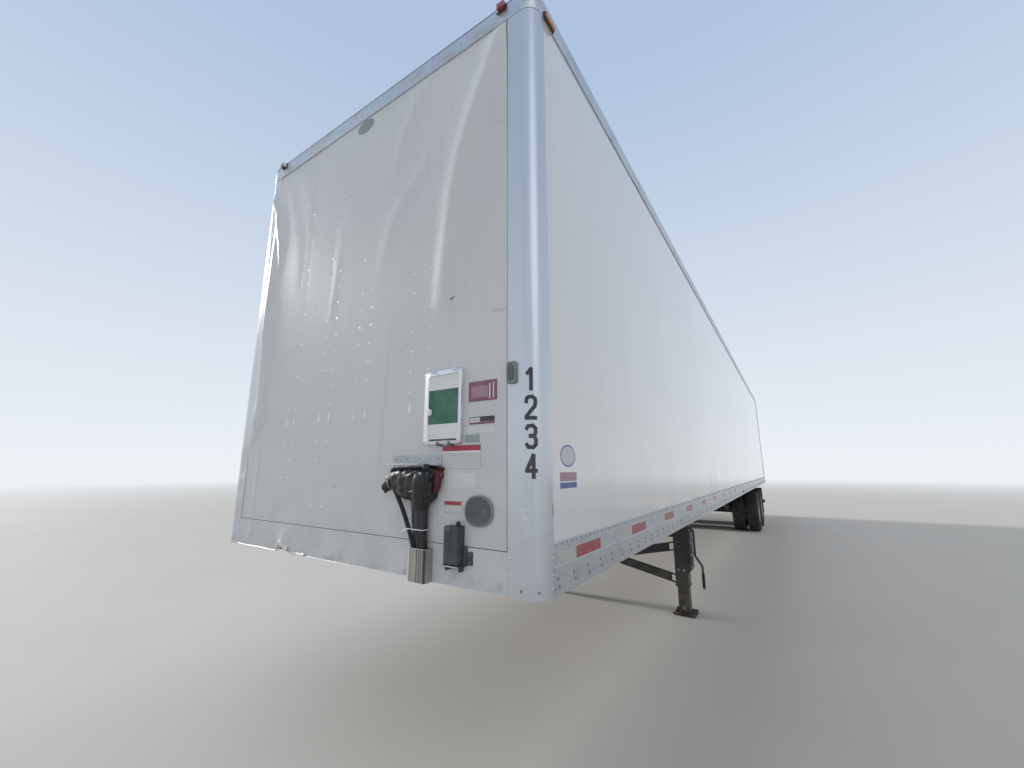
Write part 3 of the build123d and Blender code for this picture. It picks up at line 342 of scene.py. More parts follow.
def oak_floor():
    """Worn oak strips along the trailer, with gaps between them, fork marks and dirt."""
    f = Finish("oak_floor", (0.40, 0.275, 0.16), 0.55)
    strip_w = 0.035
    across = f.times(f.along("Y"), 1 / strip_w)
    links = {"W": f.math("FLOOR", across)}
    tone = f.node("ShaderNodeTexWhiteNoise", links, noise_dimensions="1D").outputs["Value"]
    f.shade((0.27, 0.175, 0.10), tone, 0.55)
    grain = f.noise(30.0, 8.0, (0.12, 3.0, 1))
    f.shade((0.20, 0.13, 0.075), f.step(grain, 0.42, 0.70), 0.45)
    edge = f.step(f.math("PINGPONG", across, 0.5), 0.045, 0.0)
    f.shade((0.05, 0.035, 0.025), edge, 0.8)
    f.stain((0.17, 0.15, 0.13), 0.45, 2.0, 7.0, 0.45, 0.72)
    f.rough(0.72, f.step(grain, 0.4, 0.8))
    f.bump(edge, -0.003, 0.6).bump(grain, 0.0012, 0.3)
    return f.done()


def plywood():
    """Rubbed interior lining in sheets."""
    f = Finish("plywood", (0.56, 0.44, 0.29), 0.6)
    f.stain((0.36, 0.26, 0.155), 0.5, 14.0, 8.0, 0.42, 0.7, (1, 1, 0.08))
    f.stain((0.28, 0.24, 0.20), 0.5, 3.0, 7.0, 0.5, 0.72)
    f.bump(f.noise(60.0, 5.0, (1, 1, 0.05)), 0.0010, 0.4)
    return f.done()


def liner():
    """White inside lining of the side walls and doors, scuffed by cargo."""
    f = Finish("liner", (0.66, 0.665, 0.66), 0.42)
    f.stain((0.30, 0.29, 0.27), 0.6, 20.0, 6.0, 0.60, 0.72, (0.15, 1, 1))
    f.stain((0.37, 0.34, 0.30), 0.5, 5.0, 7.0, 0.4, 0.7, within=f.above_sill(1.2, 0.15))
    f.bump(f.noise(35.0, 4.0, (0.2, 1, 1)), 0.0008, 0.3)
    return f.done()


def lens(name, colour):
    """Clear coloured lamp cover with its moulded flutes."""
    glow = {"Emission_Color": (*colour, 1), "Emission_Strength": 0.03}
    f = Finish(name, colour, 0.10, Coat_Weight=0.6, Coat_Roughness=0.04, **glow)
    f.stain(tint(colour, 0.40), 0.40, 12.0, 5.0, 0.5, 0.75)
    links = {"Vector": f.place, "Scale": 55.0, "Distortion": 0.0}
    flute = f.node("ShaderNodeTexWave", links, bands_direction="Y").outputs[1]
    f.shade(tint(colour, 0.5), flute, 0.25)
    f.bump(flute, 0.0015, 0.6)
    return f.done()


def tape(name, colour):
    """Reflective tape with its fine honeycomb and dusty spots."""
    f = Finish(name, colour, 0.30, Coat_Weight=0.5, Coat_Roughness=0.1)
    edge = f.step(f.cells(150.0, "DISTANCE_TO_EDGE"), 0.10, 0.02)
    f.shade(tint(colour, 0.7, 0.05), edge, 0.20)
    f.stain((0.30, 0.28, 0.25), 0.35, 20.0, 6.0, 0.5, 0.72)
    f.bump(edge, 0.0003, 0.3)
    return f.done()


def plastic(name, tone, rough=0.5):
    """Weathered moulded plastic with a fine grain."""
    f = Finish(name, tone, rough)
    f.stain(tint(tone, 1.5, 0.03), 0.5, 9.0, 6.0, 0.42, 0.72)
    f.stain(DUST, 0.35, 30.0, 5.0, 0.6, 0.72)
    f.rough(rough + 0.2, f.clouds(12.0, 4.0, 0.4, 0.7)).bump(f.noise(420.0, 2.0), 0.0004, 0.35)
    return f.done()


def sheet_print(name, tone, rough=0.45):
    """A printed sheet or sticker: an even ink with sun bleaching and small scratches."""
    f = Finish(name, tone, rough, Coat_Weight=0.15)
    f.stain(tint(tone, 0.7, 0.2), 0.28, 16.0, 6.0, 0.42, 0.75)
    f.stain((0.55, 0.55, 0.54), 0.45, 90.0, 3.0, 0.68, 0.74, (1, 0.2, 1))
    f.bump(f.noise(60.0, 2.0), 0.0004, 0.3)
    return f.done()


def wrap_black():
    """Black film wound round the connectors, creased, with a painted sheen: lighter colour along the folds.
    """
    f = Finish("wrap_black", (0.014, 0.015, 0.017), 0.36)
    fold = f.noise(38.0, 5.0, (1, 1, 0.5))
    # Painted sheen: the colour turns lighter where the fold pattern is high.
    f.shade((0.045, 0.048, 0.052), f.step(fold, 0.5, 0.8), 0.4)
    f.stain((0.09, 0.085, 0.078), 0.3, 17.0, 5.0, 0.58, 0.76)
    f.rough(0.62, f.clouds(22.0, 4.0, 0.4, 0.7)).bump(fold, 0.006, 0.7)
    return f.done()


PRINTS = {
    "white_print": (0.76, 0.77, 0.785), "red_print": (0.40, 0.02, 0.05), "green_print": (0.016, 0.125, 0.075),
    "blue_print": (0.07, 0.12, 0.33), "grey_print": (0.58, 0.59, 0.60), "digit_print": (0.03, 0.032, 0.036),
    "plum_print": (0.25, 0.09, 0.15), "faded_print": (0.38, 0.22, 0.28), "dull_print": (0.68, 0.69, 0.71),
    "slate_print": (0.30, 0.36, 0.37),
}
LOOKS = {
    "side": side_paint(),
    "front": front_paint(),
    "post": post_aluminium(),
    "rail": aluminium("rail_aluminium", (0.60, 0.63, 0.665), 0.34, 0.35, (0.02, 1, 1)),
    "roof": aluminium("roof_aluminium", (0.70, 0.71, 0.72), 0.30, 0.14, (0.05, 1, 1)),
    "duct": aluminium("duct_metal", (0.44, 0.43, 0.41), 0.42, 0.45),
    "shield": aluminium("shield_metal", (0.47, 0.49, 0.515), 0.45, 0.35),
    "holder": aluminium("holder_metal", (0.80, 0.81, 0.82), 0.28, 0.25),
    "rivet": aluminium("rivet_aluminium", (0.78, 0.79, 0.80), 0.22, 0.20),
    "dull_rivet": aluminium("dull_rivet", (0.25, 0.27, 0.29), 0.40, 0.40),
    "zinc": galvanised(),
    # Crossmember zinc darkened nearly to black: partly weathered zinc, partly painted shade under the floor.
    "beam": galvanised("beam_zinc_and_shade", (0.125, 0.125, 0.125), 0.45),
    "black": chassis_paint(),
    "steel": bare_steel(),
    "drum": bare_steel("drum_iron", (0.16, 0.11, 0.085)),
    "rubber": rubber(),
    "tyre": tyre_rubber(),
    "wheel": wheel_paint(),
    "oak": oak_floor(),
    "plywood": plywood(),
    "liner": liner(),
    "red_lens": lens("red_lens", (0.24, 0.010, 0.013)),
    # The amber is darkened and dulled, partly as painted shade on the lamps.
    "amber_lens": lens("amber_lens", (0.45, 0.13, 0.012)),
    "red_tape": tape("red_tape", (0.34, 0.015, 0.042)),
    "white_tape": tape("white_tape", (0.50, 0.51, 0.49)),
    "grey_plastic": plastic("grey_plastic", (0.115, 0.125, 0.135)),
    "dark_plastic": plastic("dark_plastic", (0.050, 0.056, 0.066)),
    "slate_plastic": plastic("slate_plastic", (0.20, 0.23, 0.24)),
    # A real red, darkened to a deep red as painted shade on the coupling.
    "shaded_red_plastic": plastic("shaded_red_plastic", (0.075, 0.010, 0.018)),
    "vent_plastic": plastic("vent_plastic", (0.105, 0.115, 0.125), 0.7),
    "wrap": wrap_black(),
    "emblem": sheet_print("emblem_print", (0.24, 0.28, 0.31), 0.7),
    "seam": sheet_print("seam_sealant", (0.10, 0.105, 0.11), 0.8),
}
for print_name, print_tone in PRINTS.items():
    LOOKS[print_name] = sheet_print(print_name, print_tone)


# Shapes
def turned_template(profile, sides):
    """Points and faces of a (height, radius) profile turned about Z."""
    points, faces, rings = [], [], []
    for height, radius in profile:
        count = sides if radius > 0 else 1
        rings.append([len(points) + i % count for i in range(sides)])
        for i in range(count):
            angle = 2 * pi * i / sides
            points.append((radius * cos(angle), radius * sin(angle), height))
    for low, high in zip(rings, rings[1:]):
        for i in range(sides):
            j = (i + 1) % sides
            corners = dict.fromkeys((low[i], low[j], high[j], high[i]))
            if len(corners) > 2:
                faces.append(tuple(corners))
    return np.array(points), faces


def basis(normal):
    """Columns: two directions across the normal, and the normal."""
    n = Vector(normal).normalized()
    side = n.cross(Vector((0, 0, 1)) if abs(n.z) < 0.9 else Vector((1, 0, 0))).normalized()
    return np.array([side, n.cross(side), n]).T


def place_object(name, data):
    """A new object in the scene."""
    made = bpy.data.objects.new(name, data)
    bpy.context.scene.collection.objects.link(made)
    return made


class Shape:
    """Points and faces of one piece; `look` names the material of each patch."""

    def __init__(self):
        self.points, self.faces, self.looks, self.names, self.count = [], [], [], [], 0

    def add(self, points, faces, look):
        points = np.asarray(points, float).reshape(-1, 3)
        if look not in self.names:
            self.names.append(look)
        self.points.append(points)
        self.faces += [tuple(i + self.count for i in face) for face in faces]
        self.looks += [self.names.index(look)] * len(faces)
        self.count += len(points)
        return self

    def box(self, x, y, z, look):
        """A box from three (low, high) pairs."""
        points = [(x[i], y[j], z[k]) for i in (0, 1) for j in (0, 1) for k in (0, 1)]
        faces = [(0, 1, 3, 2), (4, 6, 7, 5), (0, 4, 5, 1), (2, 3, 7, 6), (0, 2, 6, 4), (1, 5, 7, 3)]
        return self.add(points, faces, look)

    def turned(self, places, normal, profile, look, sides=12):
        """Copies of a turned shape that stand on the places, along the normal."""
        template, faces = turned_template(profile, sides)
        local = template @ basis(normal).T
        for place in places:
            self.add(local + np.array(place), faces, look)
        return self

    def rivets(self, places, normal, radius, look="rivet", sides=8):
        profile = [(0, radius), (radius * 0.35, radius * 0.8), (radius * 0.55, 0)]
        return self.turned(places, normal, profile, look, sides)

    def bolts(self, places, normal, radius, look="zinc"):
        """Hexagon heads on washers."""
        washer = [(0, radius * 1.35), (radius * 0.22, radius * 1.35), (radius * 0.22, radius)]
        self.turned(places, normal, washer, look, 14)
        head = [(radius * 0.2, radius), (radius * 0.9, radius), (radius, radius * 0.84), (radius, 0)]
        return self.turned(places, normal, head, look, 6)

    def grid(self, rows, look, closed=False):
        """Quads over equal rows of points; closed joins each row's ends."""
        rows = np.asarray(rows, float)
        n, m = rows.shape[:2]
        last = m if closed else m - 1
        faces = []
        for i in range(n - 1):
            for j in range(last):
                k = (j + 1) % m
                faces.append((i * m + j, i * m + k, (i + 1) * m + k, (i + 1) * m + j))
        return self.add(rows.reshape(-1, 3), faces, look)

    def cap(self, ring, look, flip=False):
        """One flat face over a ring of points."""
        order = list(range(len(ring)))
        return self.add(ring, [tuple(reversed(order)) if flip else tuple(order)], look)

    def solid(self, rings, look):
        """A closed skin over rings of points, with a flat face at either end."""
        self.grid(rings, look, closed=True)
        return self.cap(rings[0], look, True).cap(rings[-1], look)

    def prism(self, outline, axis, low, high, look):
        """A closed (a, b) outline run from low to high along X, Y or Z."""
        def place(a, b, t):
            return {"X": (t, a, b), "Y": (a, t, b), "Z": (a, b, t)}[axis]
        return self.solid([[place(a, b, t) for a, b in outline] for t in (low, high)], look)

    def tube(self, path, radius, look, sides=10):
        """A round bar along a path; radius may be a list, one value for each point."""
        path = np.asarray(path, float)
        radii = np.full(len(path), radius) if np.isscalar(radius) else np.asarray(radius)
        ahead = np.gradient(path, axis=0)
        ahead /= np.linalg.norm(ahead, axis=1)[:, None]
        side = np.cross(ahead[0], (0, 0, 1)) if abs(ahead[0][2]) < 0.9 else np.cross(ahead[0], (1, 0, 0))
        rings = []
        for at, way, r in zip(path, ahead, radii):
            side = side - way * (side @ way)
            side /= np.linalg.norm(side)
            other = np.cross(way, side)
            turn = [2 * pi * i / sides for i in range(sides)]
            rings.append([at + r * (cos(t) * side + sin(t) * other) for t in turn])
        return self.solid(rings, look)

    def build(self, name, body, slot, bevel=0.0, angle=35):
        """The finished piece, riding on its body."""
        mesh = bpy.data.meshes.new(name)
        mesh.from_pydata(np.concatenate(self.points), [], self.faces)
        for look in self.names:
            mesh.materials.append(LOOKS[look])
        mesh.polygons.foreach_set("material_index", self.looks)
        piece = place_object(name, mesh)
        work = bmesh.new()
        work.from_mesh(mesh)
        bmesh.ops.remove_doubles(work, verts=work.verts, dist=0.00001)
        work.to_mesh(mesh)
        work.free()
        if bevel:
            soften(piece, bevel)
        mesh.shade_smooth()
        mesh.set_sharp_from_angle(angle=radians(angle))
        mesh.update()
        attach(piece, body)
        return piece


def soften(piece, width, segments=2):
    """Small round edges on a piece or a CAD node."""
    bevel = piece.modifiers.new("bevel", "BEVEL")
    bevel.width = width
    bevel.segments = segments
    bevel.limit_method = "ANGLE"
    bevel.angle_limit = radians(40)
    bevel.harden_normals = True


def smooth_path(points, steps=8):
    """A smooth line through the points."""
    p = [np.array(q, float) for q in points]
    p = [2 * p[0] - p[1]] + p + [2 * p[-1] - p[-2]]
    path = []
    for a, b, c, d in zip(p, p[1:], p[2:], p[3:]):
        for i in range(steps):
            t = i / steps
            bend = (2 * a - 5 * b + 4 * c - d) * t ** 2 + (3 * b - a - 3 * c + d) * t ** 3
            path.append(0.5 * (2 * b + (c - a) * t + bend))
    path.append(p[-2])
    return path


def spread(first, last, pitch):
    """Places from first to last at about the pitch, both ends used."""
    count = max(1, round(abs(last - first) / pitch))
    return [first + (last - first) * i / count for i in range(count + 1)]


def turns(count, start=0.0):
    """Angles of `count` even steps round a full turn."""
    return np.linspace(start, start + 2 * pi, count + 1)[:-1]


def pair(side, a, b):
    """The span between a and b on one side of the middle line, lower end first."""
    return sorted((side * a, side * b))


def about(middle, half):
    """The span of a half width on either side of a middle."""
    return (middle - half, middle + half)


def up(z_pair):
    return tuple(sill + z for z in z_pair)


def inset(span, d):
    return (span[0] + d, span[1] - d)


def rounded(a, b, radius, steps=5):
    """A rounded rectangle as (a, b) points."""
    corners = ((a[1], b[1], 0), (a[0], b[1], 1), (a[0], b[0], 2), (a[1], b[0], 3))
    outline = []
    for x, y, quarter in corners:
        cx = x - radius if quarter in (0, 3) else x + radius
        cy = y - radius if quarter in (0, 1) else y + radius
        for i in range(steps + 1):
            angle = pi / 2 * (quarter + i / steps)
            outline.append((cx + radius * cos(angle), cy + radius * sin(angle)))
    return outline


def stacked(shape, loops, look, last=None):
    """Loops of (a, b) outlines at given X, joined and closed by a face over the last."""
    rings = [[(x, y, z) for y, z in outline] for x, outline in loops]
    shape.grid(rings, look, closed=True)
    shape.cap(rings[-1], last or look)


def wobble(points, amount, scale, seed=0.0):
    """The points moved by smooth noise, for wrapped and crumpled things."""
    shift = Vector((seed, 0, 0))
    return [tuple(Vector(p) + noise.noise_vector(Vector(p) * scale + shift) * amount) for p in points]


def on_wall(points):
    """Points given by their distance out of the front wall, Y and height above the sill."""
    return [(skin_x + x, y, sill + z) for x, y, z in points]


# Front skin
# Ridges in the skin: height in metres, half width, where the swell starts and ends as shares of a half
# turn, and the crest as (Y, Z above the sill)
RIDGES = [
    (0.027, 0.062, 0.34, 0.88, [(1.10, 2.88), (1.00, 2.63), (0.90, 2.40), (0.825, 2.19), (0.775, 1.97),
                                (0.755, 1.78), (0.735, 1.58), (0.715, 1.36)]),
    (0.008, 0.060, 0.30, 0.90, [(0.53, 2.86), (0.43, 2.69), (0.34, 2.53), (0.285, 2.25)]),
    (0.006, 0.055, 0.30, 0.90, [(0.54, 2.244), (0.42, 2.121), (0.30, 1.981), (0.245, 1.828), (0.225, 1.692)]),
    (0.003, 0.060, 0.20, 0.90, [(-0.805, 2.80), (-0.661, 2.461), (-0.606, 2.212)]),
    (0.003, 0.055, 0.20, 0.90, [(-1.033, 2.86), (-0.90, 2.50), (-0.794, 2.24), (-0.743, 1.963),
                                (-0.74, 1.793)]),
    (0.024, 0.085, 0.30, 0.55, [(-1.24, 2.74), (-1.185, 2.476), (-1.15, 2.089), (-1.12, 1.64), (-1.06, 1.27),
                                (-1.035, 1.01), (-1.030, 0.87)]),
    (0.018, 0.070, 0.50, 0.85, [(-1.030, 0.87), (-1.055, 0.78), (-1.12, 0.69), (-1.23, 0.62)]),
    (0.012, 0.020, 0.25, 0.90, [(-1.235, 2.724), (-1.16, 2.60), (-1.09, 2.42), (-1.042, 2.267), (-1.01, 2.12),
                                (-0.993, 1.998)]),
    (0.003, 0.050, 0.20, 0.90, [(-0.211, 2.109), (-0.231, 1.817), (-0.26, 1.523), (-0.312, 1.393)]),
    (0.004, 0.022, 0.20, 0.90, [(-0.985, 0.66), (-0.975, 0.20)]),
]
RIVET_COLUMNS = (-1.005, -0.665, -0.580, -0.297, -0.192, 0.054, 0.15, 0.512, 0.640)
COLUMN_Z = (0.894, 2.892)
COLUMN_PITCH = 0.111
# The hem's dent: middle and half width along Y, and how far it is turned up
HEM_DENT = (-0.545, 0.085, 0.052)
HEM_FADE = 0.14
# Tears over the hem, coloured lighter than the paint as a painted highlight: Y span, height and how ragged
# the top is
TEARS = ((-0.620, -0.480, 0.014, 0.020), (-0.455, -0.305, 0.007, 0.013))


def line_distance(y, z, path):
    """Distance from each point to a path, and how far along the path the nearest place is, 0 to 1."""
    best = np.full(y.shape, 1e9)
    share = np.zeros(y.shape)
    count = len(path) - 1
    for i, ((ya, za), (yb, zb)) in enumerate(zip(path, path[1:])):
        dy, dz = yb - ya, zb - za
        t = np.clip(((y - ya) * dy + (z - za) * dz) / (dy * dy + dz * dz), 0, 1)
        d = np.hypot(y - ya - t * dy, z - za - t * dz)
        near = d < best
        best = np.where(near, d, best)
        share = np.where(near, (i + t) / count, share)
    return best, share


def skin_push(y, z):
    """How far the dented skin stands out of its plane at Y and at Z above the sill."""
    y, z = np.asarray(y, float), np.asarray(z, float)
    out = 0.0012 * np.sin(5.1 * y + 1.3 * z) * np.sin(2.3 * z + 0.7)
    for height, half, first, last, path in RIDGES:
        d, share = line_distance(y, z, path)
        swell = height * np.sin(pi * (first + (last - first) * share))
        out = out + swell * (0.80 * np.exp(-(d / half) ** 2) + 0.20 * np.exp(-(d / half / 2.4) ** 2))
    for column in RIVET_COLUMNS:
        near = np.exp(-((y - column) / 0.022) ** 2)
        out = out - 0.0008 * near * (z > COLUMN_Z[0] - 0.02)
    pillow = np.abs(np.sin(pi * (y + 0.235) / 0.345)) ** 0.7
    out = out + 0.0006 * pillow * np.clip((z - 0.75) / 0.4, 0, 1) * (y < 0.1)
    edge = np.clip((seam_y + 0.03 - np.abs(y)) / 0.05, 0, 1)
    fittings = np.clip((y - 0.28) / 0.10, 0, 1) * np.clip((1.15 - z) / 0.12, 0, 1)
    low = np.clip((z - 0.17) / 0.12, 0, 1)
    high = np.clip((body_top - sill - 0.10 - z) / 0.06, 0, 1)
    curb = np.clip((-1.05 - y) / 0.1, 0, 1)
    return out * (1 - fittings) * np.maximum(edge, 0.5 * curb) * low * high


def skin_at(y, z):
    """X of the dented skin at Y and at Z above the sill."""
    return skin_x + float(skin_push(y, z))


def hem_lift(y):
    """How far the lower edge of the skin and nose panel is turned up at Y."""
    middle, half, lift = HEM_DENT
    t = np.clip(1 - np.abs(np.asarray(y) - middle) / half, 0, 1)
    return lift * t ** 1.3 * (1 + 0.25 * np.sin(40 * np.asarray(y)))


def front_skin():
    half = wall_high.y
    y, z = np.meshgrid(np.linspace(-half, half, 260), np.linspace(0, wall_high.z - sill, 262))
    lift = hem_lift(y) * np.clip(1 - z / HEM_FADE, 0, 1)
    front = np.stack([skin_x + skin_push(y, z) + lift * 0.35, y, sill + z + lift], axis=-1)
    shape = Shape().grid(front[:, ::-1], "front")
    rim = list(front[0]) + list(front[1:, -1]) + list(front[-1][::-1][1:]) + list(front[::-1, 0][1:-1])
    shape.grid([rim, [(skin_x - 0.004, p[1], p[2]) for p in rim]], "front", closed=True)
    piece = shape.build("front_skin", "chassis", "white_paint", angle=50)
    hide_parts("front_wall")
    lining = Shape().box((wall_low.x, skin_x - 0.032), (-half, half), (sill + 0.02, wall_high.z), "plywood")
    for joint_y in (-0.61, 0.0, 0.61):
        strip_x = (wall_low.x - 0.001, wall_low.x)
        lining.box(strip_x, about(joint_y, 0.02), (deck_high.z, wall_high.z), "zinc")
    lining.build("front_lining", "chassis", "hardwood")


def nose_plate():
    """The panel along the foot of the front wall, with its turned up hem; bright metal along the hem and
    white on its torn lips are painted highlights.
    """
    height = nose_high.z - sill
    y, z = np.meshgrid(np.linspace(nose_low.y, nose_high.y, 180), np.linspace(0, height, 14))
    lift = hem_lift(y) * np.clip(1 - z / HEM_FADE, 0, 1)
    wave = 0.0012 * np.sin(9 * y) + 0.005 * np.exp(-((y + 0.975) / 0.020) ** 2)
    out = nose_high.x + wave * np.sin(pi * z / height) + lift * 0.5
    front = np.stack([out, y, sill + z + lift], axis=-1)
    shape = Shape().grid(front[:, ::-1], "front")
    # The lower rim (first edge) and the roll along it are bright holder metal, lighter than the paint: a
    # painted highlight along the hem.
    edges = (front[0], front[:, -1], front[-1][::-1], front[::-1, 0])
    for edge, look in zip(edges, ("holder", "front", "seam", "front")):
        shape.grid([edge, [(skin_x - 0.001, p[1], p[2]) for p in edge]], look)
    shape.tube([(p[0] - 0.0005, p[1], p[2] + 0.0018) for p in front[0]], 0.0026, "holder", 8)
    for first, last, tear_h, rag in TEARS:
        rows = []
        for t, ya in enumerate(np.linspace(first, last, 15)):
            foot = float(hem_lift(ya))
            crest = foot + tear_h + rag * abs(sin(1.9 * t))
            out_x = nose_high.x + 0.005 + 0.004 * sin(2.7 * t) + foot * 0.55
            top_x = nose_high.x + 0.0015 + foot * 0.5 * max(0.0, 1 - crest / HEM_FADE)
            middle = (out_x + 0.005, ya, sill + (foot + crest) / 2)
            rows.append([(out_x, ya, sill + foot - 0.001), middle, (top_x, ya, sill + crest)])
        # The torn lips are white print, lighter than the paint: a painted highlight.
        shape.grid(rows, "white_print")
    piece = shape.build("nose_plate", "chassis", "white_paint", angle=50)
    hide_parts("nose_panel")


def front_rivets():
    """Columns and rows of rivets on the front skin, and the beads of sealant that run from the columns."""
    shape = Shape()
    nose_h, top_h = nose_high.z - sill, body_top - sill
    span = (-seam_y + 0.03, seam_y - 0.03)

    def on_skin(places, radius, look="rivet"):
        y = np.array([p[0] for p in places])
        z = np.array([p[1] for p in places])
        x = np.where(z < nose_h, nose_high.x, skin_x + skin_push(y, z))
        shape.rivets(np.stack([x, y, sill + z], axis=-1), (1, 0, 0), radius, look)

    for y in RIVET_COLUMNS:
        on_skin([(y, z) for z in spread(*COLUMN_Z, COLUMN_PITCH)], 0.0075)
        if y == RIVET_COLUMNS[-1]:
            continue
        rows = []
        for t in np.linspace(0, 1, 12):
            z = COLUMN_Z[0] - 0.045 - 0.075 * t
            half = 0.0100 * (0.12 + 0.88 * t) * min(1.0, ((1.0 - t) / 0.25) ** 0.5)
            x = skin_at(y, z) - 0.0005
            arc = np.linspace(0, pi, 7)
            rows.append([(x + 0.55 * half * sin(a), y - half * cos(a), sill + z) for a in arc])
        shape.grid(rows, "rivet")
    for y in RIVET_COLUMNS[:7]:
        on_skin([(y, z) for z in (0.67, 0.558, 0.447, 0.342, 0.286)], 0.0065)
    for y in (0.80, 1.02):
        on_skin([(y, z) for z in spread(1.30, 2.88, 0.21)], 0.005)
    on_skin([(y, nose_h + 0.022) for y in spread(*span, 0.125)], 0.0055, "front")
    on_skin([(y, 0.150) for y in spread(*span, 0.19)], 0.0055, "front")
    on_skin([(y, 0.022) for y in spread(-0.20, 0.52, 0.12)], 0.006, "front")
    on_skin([(y, top_h - 0.135) for y in spread(*span, 0.075)], 0.0055)
    shape.build("front_rivets", "chassis", "bare_aluminium")


# Corner posts
# Dents of the right post: depth, height above the sill and half height
POST_DENTS = ((0.014, 0.60, 0.10), (0.007, 0.38, 0.05), (0.005, 1.95, 0.12))


def post_outline():
    """Section of the left post as (X, Y) points, counter-clockwise, from its seam on the front wall."""
    outer, side = post_high.x, post_high.y
    lap_x, back_x, inner_x = post_low.x, rail_high.x, wall_low.x
    wall_end = wall_high.y + 0.0003
    r = POST_ROUND_R
    points = [(outer - 0.0015, seam_y), (outer, seam_y + 0.0015)]
    points += [(outer, y) for y in np.linspace(seam_y + 0.015, side - r, 6)]
    points += [(outer - r + r * cos(a), side - r + r * sin(a)) for a in np.linspace(0, pi / 2, 15)[1:]]
    points += [(x, side) for x in (back_x + 0.012, back_x + 0.0015)]
    points += [(back_x, side - 0.0015), (back_x, wall_y), (lap_x, wall_y), (lap_x, side_low.y)]
    return points + [(inner_x, wall_end), (skin_x, wall_end), (skin_x, seam_y)]


def post_dent(side, h, x, y):
    """How far a post is pushed in at X and Y of the left outline and at a height above the sill."""
    if side < 0:
        dent = sum(depth * np.exp(-((h - at) / half) ** 2) for depth, at, half in POST_DENTS)
        dent *= 1 + 0.35 * sin(46 * h + 30 * y)
    else:
        dent = 0.006 * np.exp(-((h - 0.33) / 0.07) ** 2) * np.exp(-((y - post_high.y) / 0.05) ** 2)
    ahead = max(0.0, (x - skin_x) / (post_high.x - skin_x))
    aside = max(0.0, (y - wall_y) / (post_high.y - wall_y))
    return dent * (min(1.0, ahead + aside) * min(1.0, max(0.0, (y - seam_y) / 0.05)))


def corner_posts():
    """Both posts; the right one is crushed inward low down and leans over that dent."""
    shape = Shape()
    for side, count in ((1, 60), (-1, 150)):
        rows = []
        for z in np.linspace(post_low.z, post_high.z, count):
            row = []
            for x, y in post_outline():
                dent = post_dent(side, z - sill, x, y)
                row.append((x - dent, side * (y - 0.8 * dent), z))
            rows.append(row[::-side])
        shape.solid(rows, "post")
    piece = shape.build("posts", "chassis", "bare_aluminium", angle=30)
    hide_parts("corner_posts")
    studs = Shape()
    z_row = list(up((0.035, 0.085, 0.15))) + spread(sill + 0.6, top_rail_z - 0.03, 0.305)
    for z in z_row:
        studs.rivets([(post_high.x, s * (seam_y + 0.014), z) for s in (1, -1)], (1, 0, 0), 0.0045)
    for side in (1, -1):
        studs.rivets([(rail_high.x + 0.014, side * post_high.y, z) for z in z_row], (0, side, 0), 0.0045)
        for along in (0.066, 0.142, 0.232):
            x, y, z = post_spot(along, sill + 0.030, 0.0)
            way = np.array(post_spot(along, sill + 0.030, 1.0)) - (x, y, z)
            studs.rivets([(x, side * y, z)], (way[0], side * way[1], 0), 0.0065, "dull_rivet")
    studs.build("post_rivets", "chassis", "bare_aluminium")


def post_spot(along, height, proud):
    """A point on the left post's outside, `along` metres round it from the seam."""
    r = POST_ROUND_R
    flat = post_high.y - r - seam_y
    angle = min(pi / 2, max(0.0, (along - flat) / r))
    rest = max(0.0, along - flat - r * pi / 2)
    y = seam_y + min(along, flat) + r * sin(angle)
    x = post_high.x - r + r * cos(angle) - rest
    return (x + proud * cos(angle), y + proud * sin(angle), height)


def seams():
    """Dark sealed joints beside both posts and over the nose panel."""
    shape = Shape()
    for side, lap, look in ((1, 0.0045, "seam"), (-1, 0.0015, "slate_print")):
        rows = []
        for z in np.linspace(nose_high.z - sill, top_rail_z - sill, 120):
            edges = (side * (seam_y - lap), side * (seam_y + 0.001))
            rows.append([(skin_at(y, z) + 0.0009, y, sill + z) for y in edges])
        shape.grid(rows, look)
        across = pair(side, wall_y, wall_y + 0.0012)
        shape.box((rail_high.x - 0.004, rail_high.x), across, (rail_top, top_rail_z), "seam")
    shape.box((skin_x, skin_x + 0.0012), (-seam_y, seam_y), (nose_high.z, nose_high.z + 0.0026), "seam")
    path = front_path(-0.0006, 0.075)
    shape.grid([[(x, y, body_top - d) for x, y, _, _ in path] for d in (0.007, 0.001)], "seam")
    shape.build("seams", "chassis", "black_rubber")


# Rails
TAPE_FIRST, TAPE_PITCH = 0.13, 0.79
TAPE_WHITE, TAPE_RED = 0.185, 0.285
TAPE_H, TAPE_T = 0.050, 0.0007
TAPE_Z = 0.1135


def front_path(inset_by, step):
    """Places round the trailer's front end, from side to side, with the way out at each."""
    half, r = half_w - inset_by, 0.085 - inset_by
    x = front_x - inset_by
    corner = [(x - r + r * cos(a), half - r + r * sin(a), cos(a), sin(a)) for a in np.linspace(pi / 2, 0, 7)]
    flat = [(x, y, 1.0, 0.0) for y in spread(half - r - step / 2, -half + r + step / 2, step)]
    return corner + flat + [(px, -py, nx, -ny) for px, py, nx, ny in reversed(corner)]


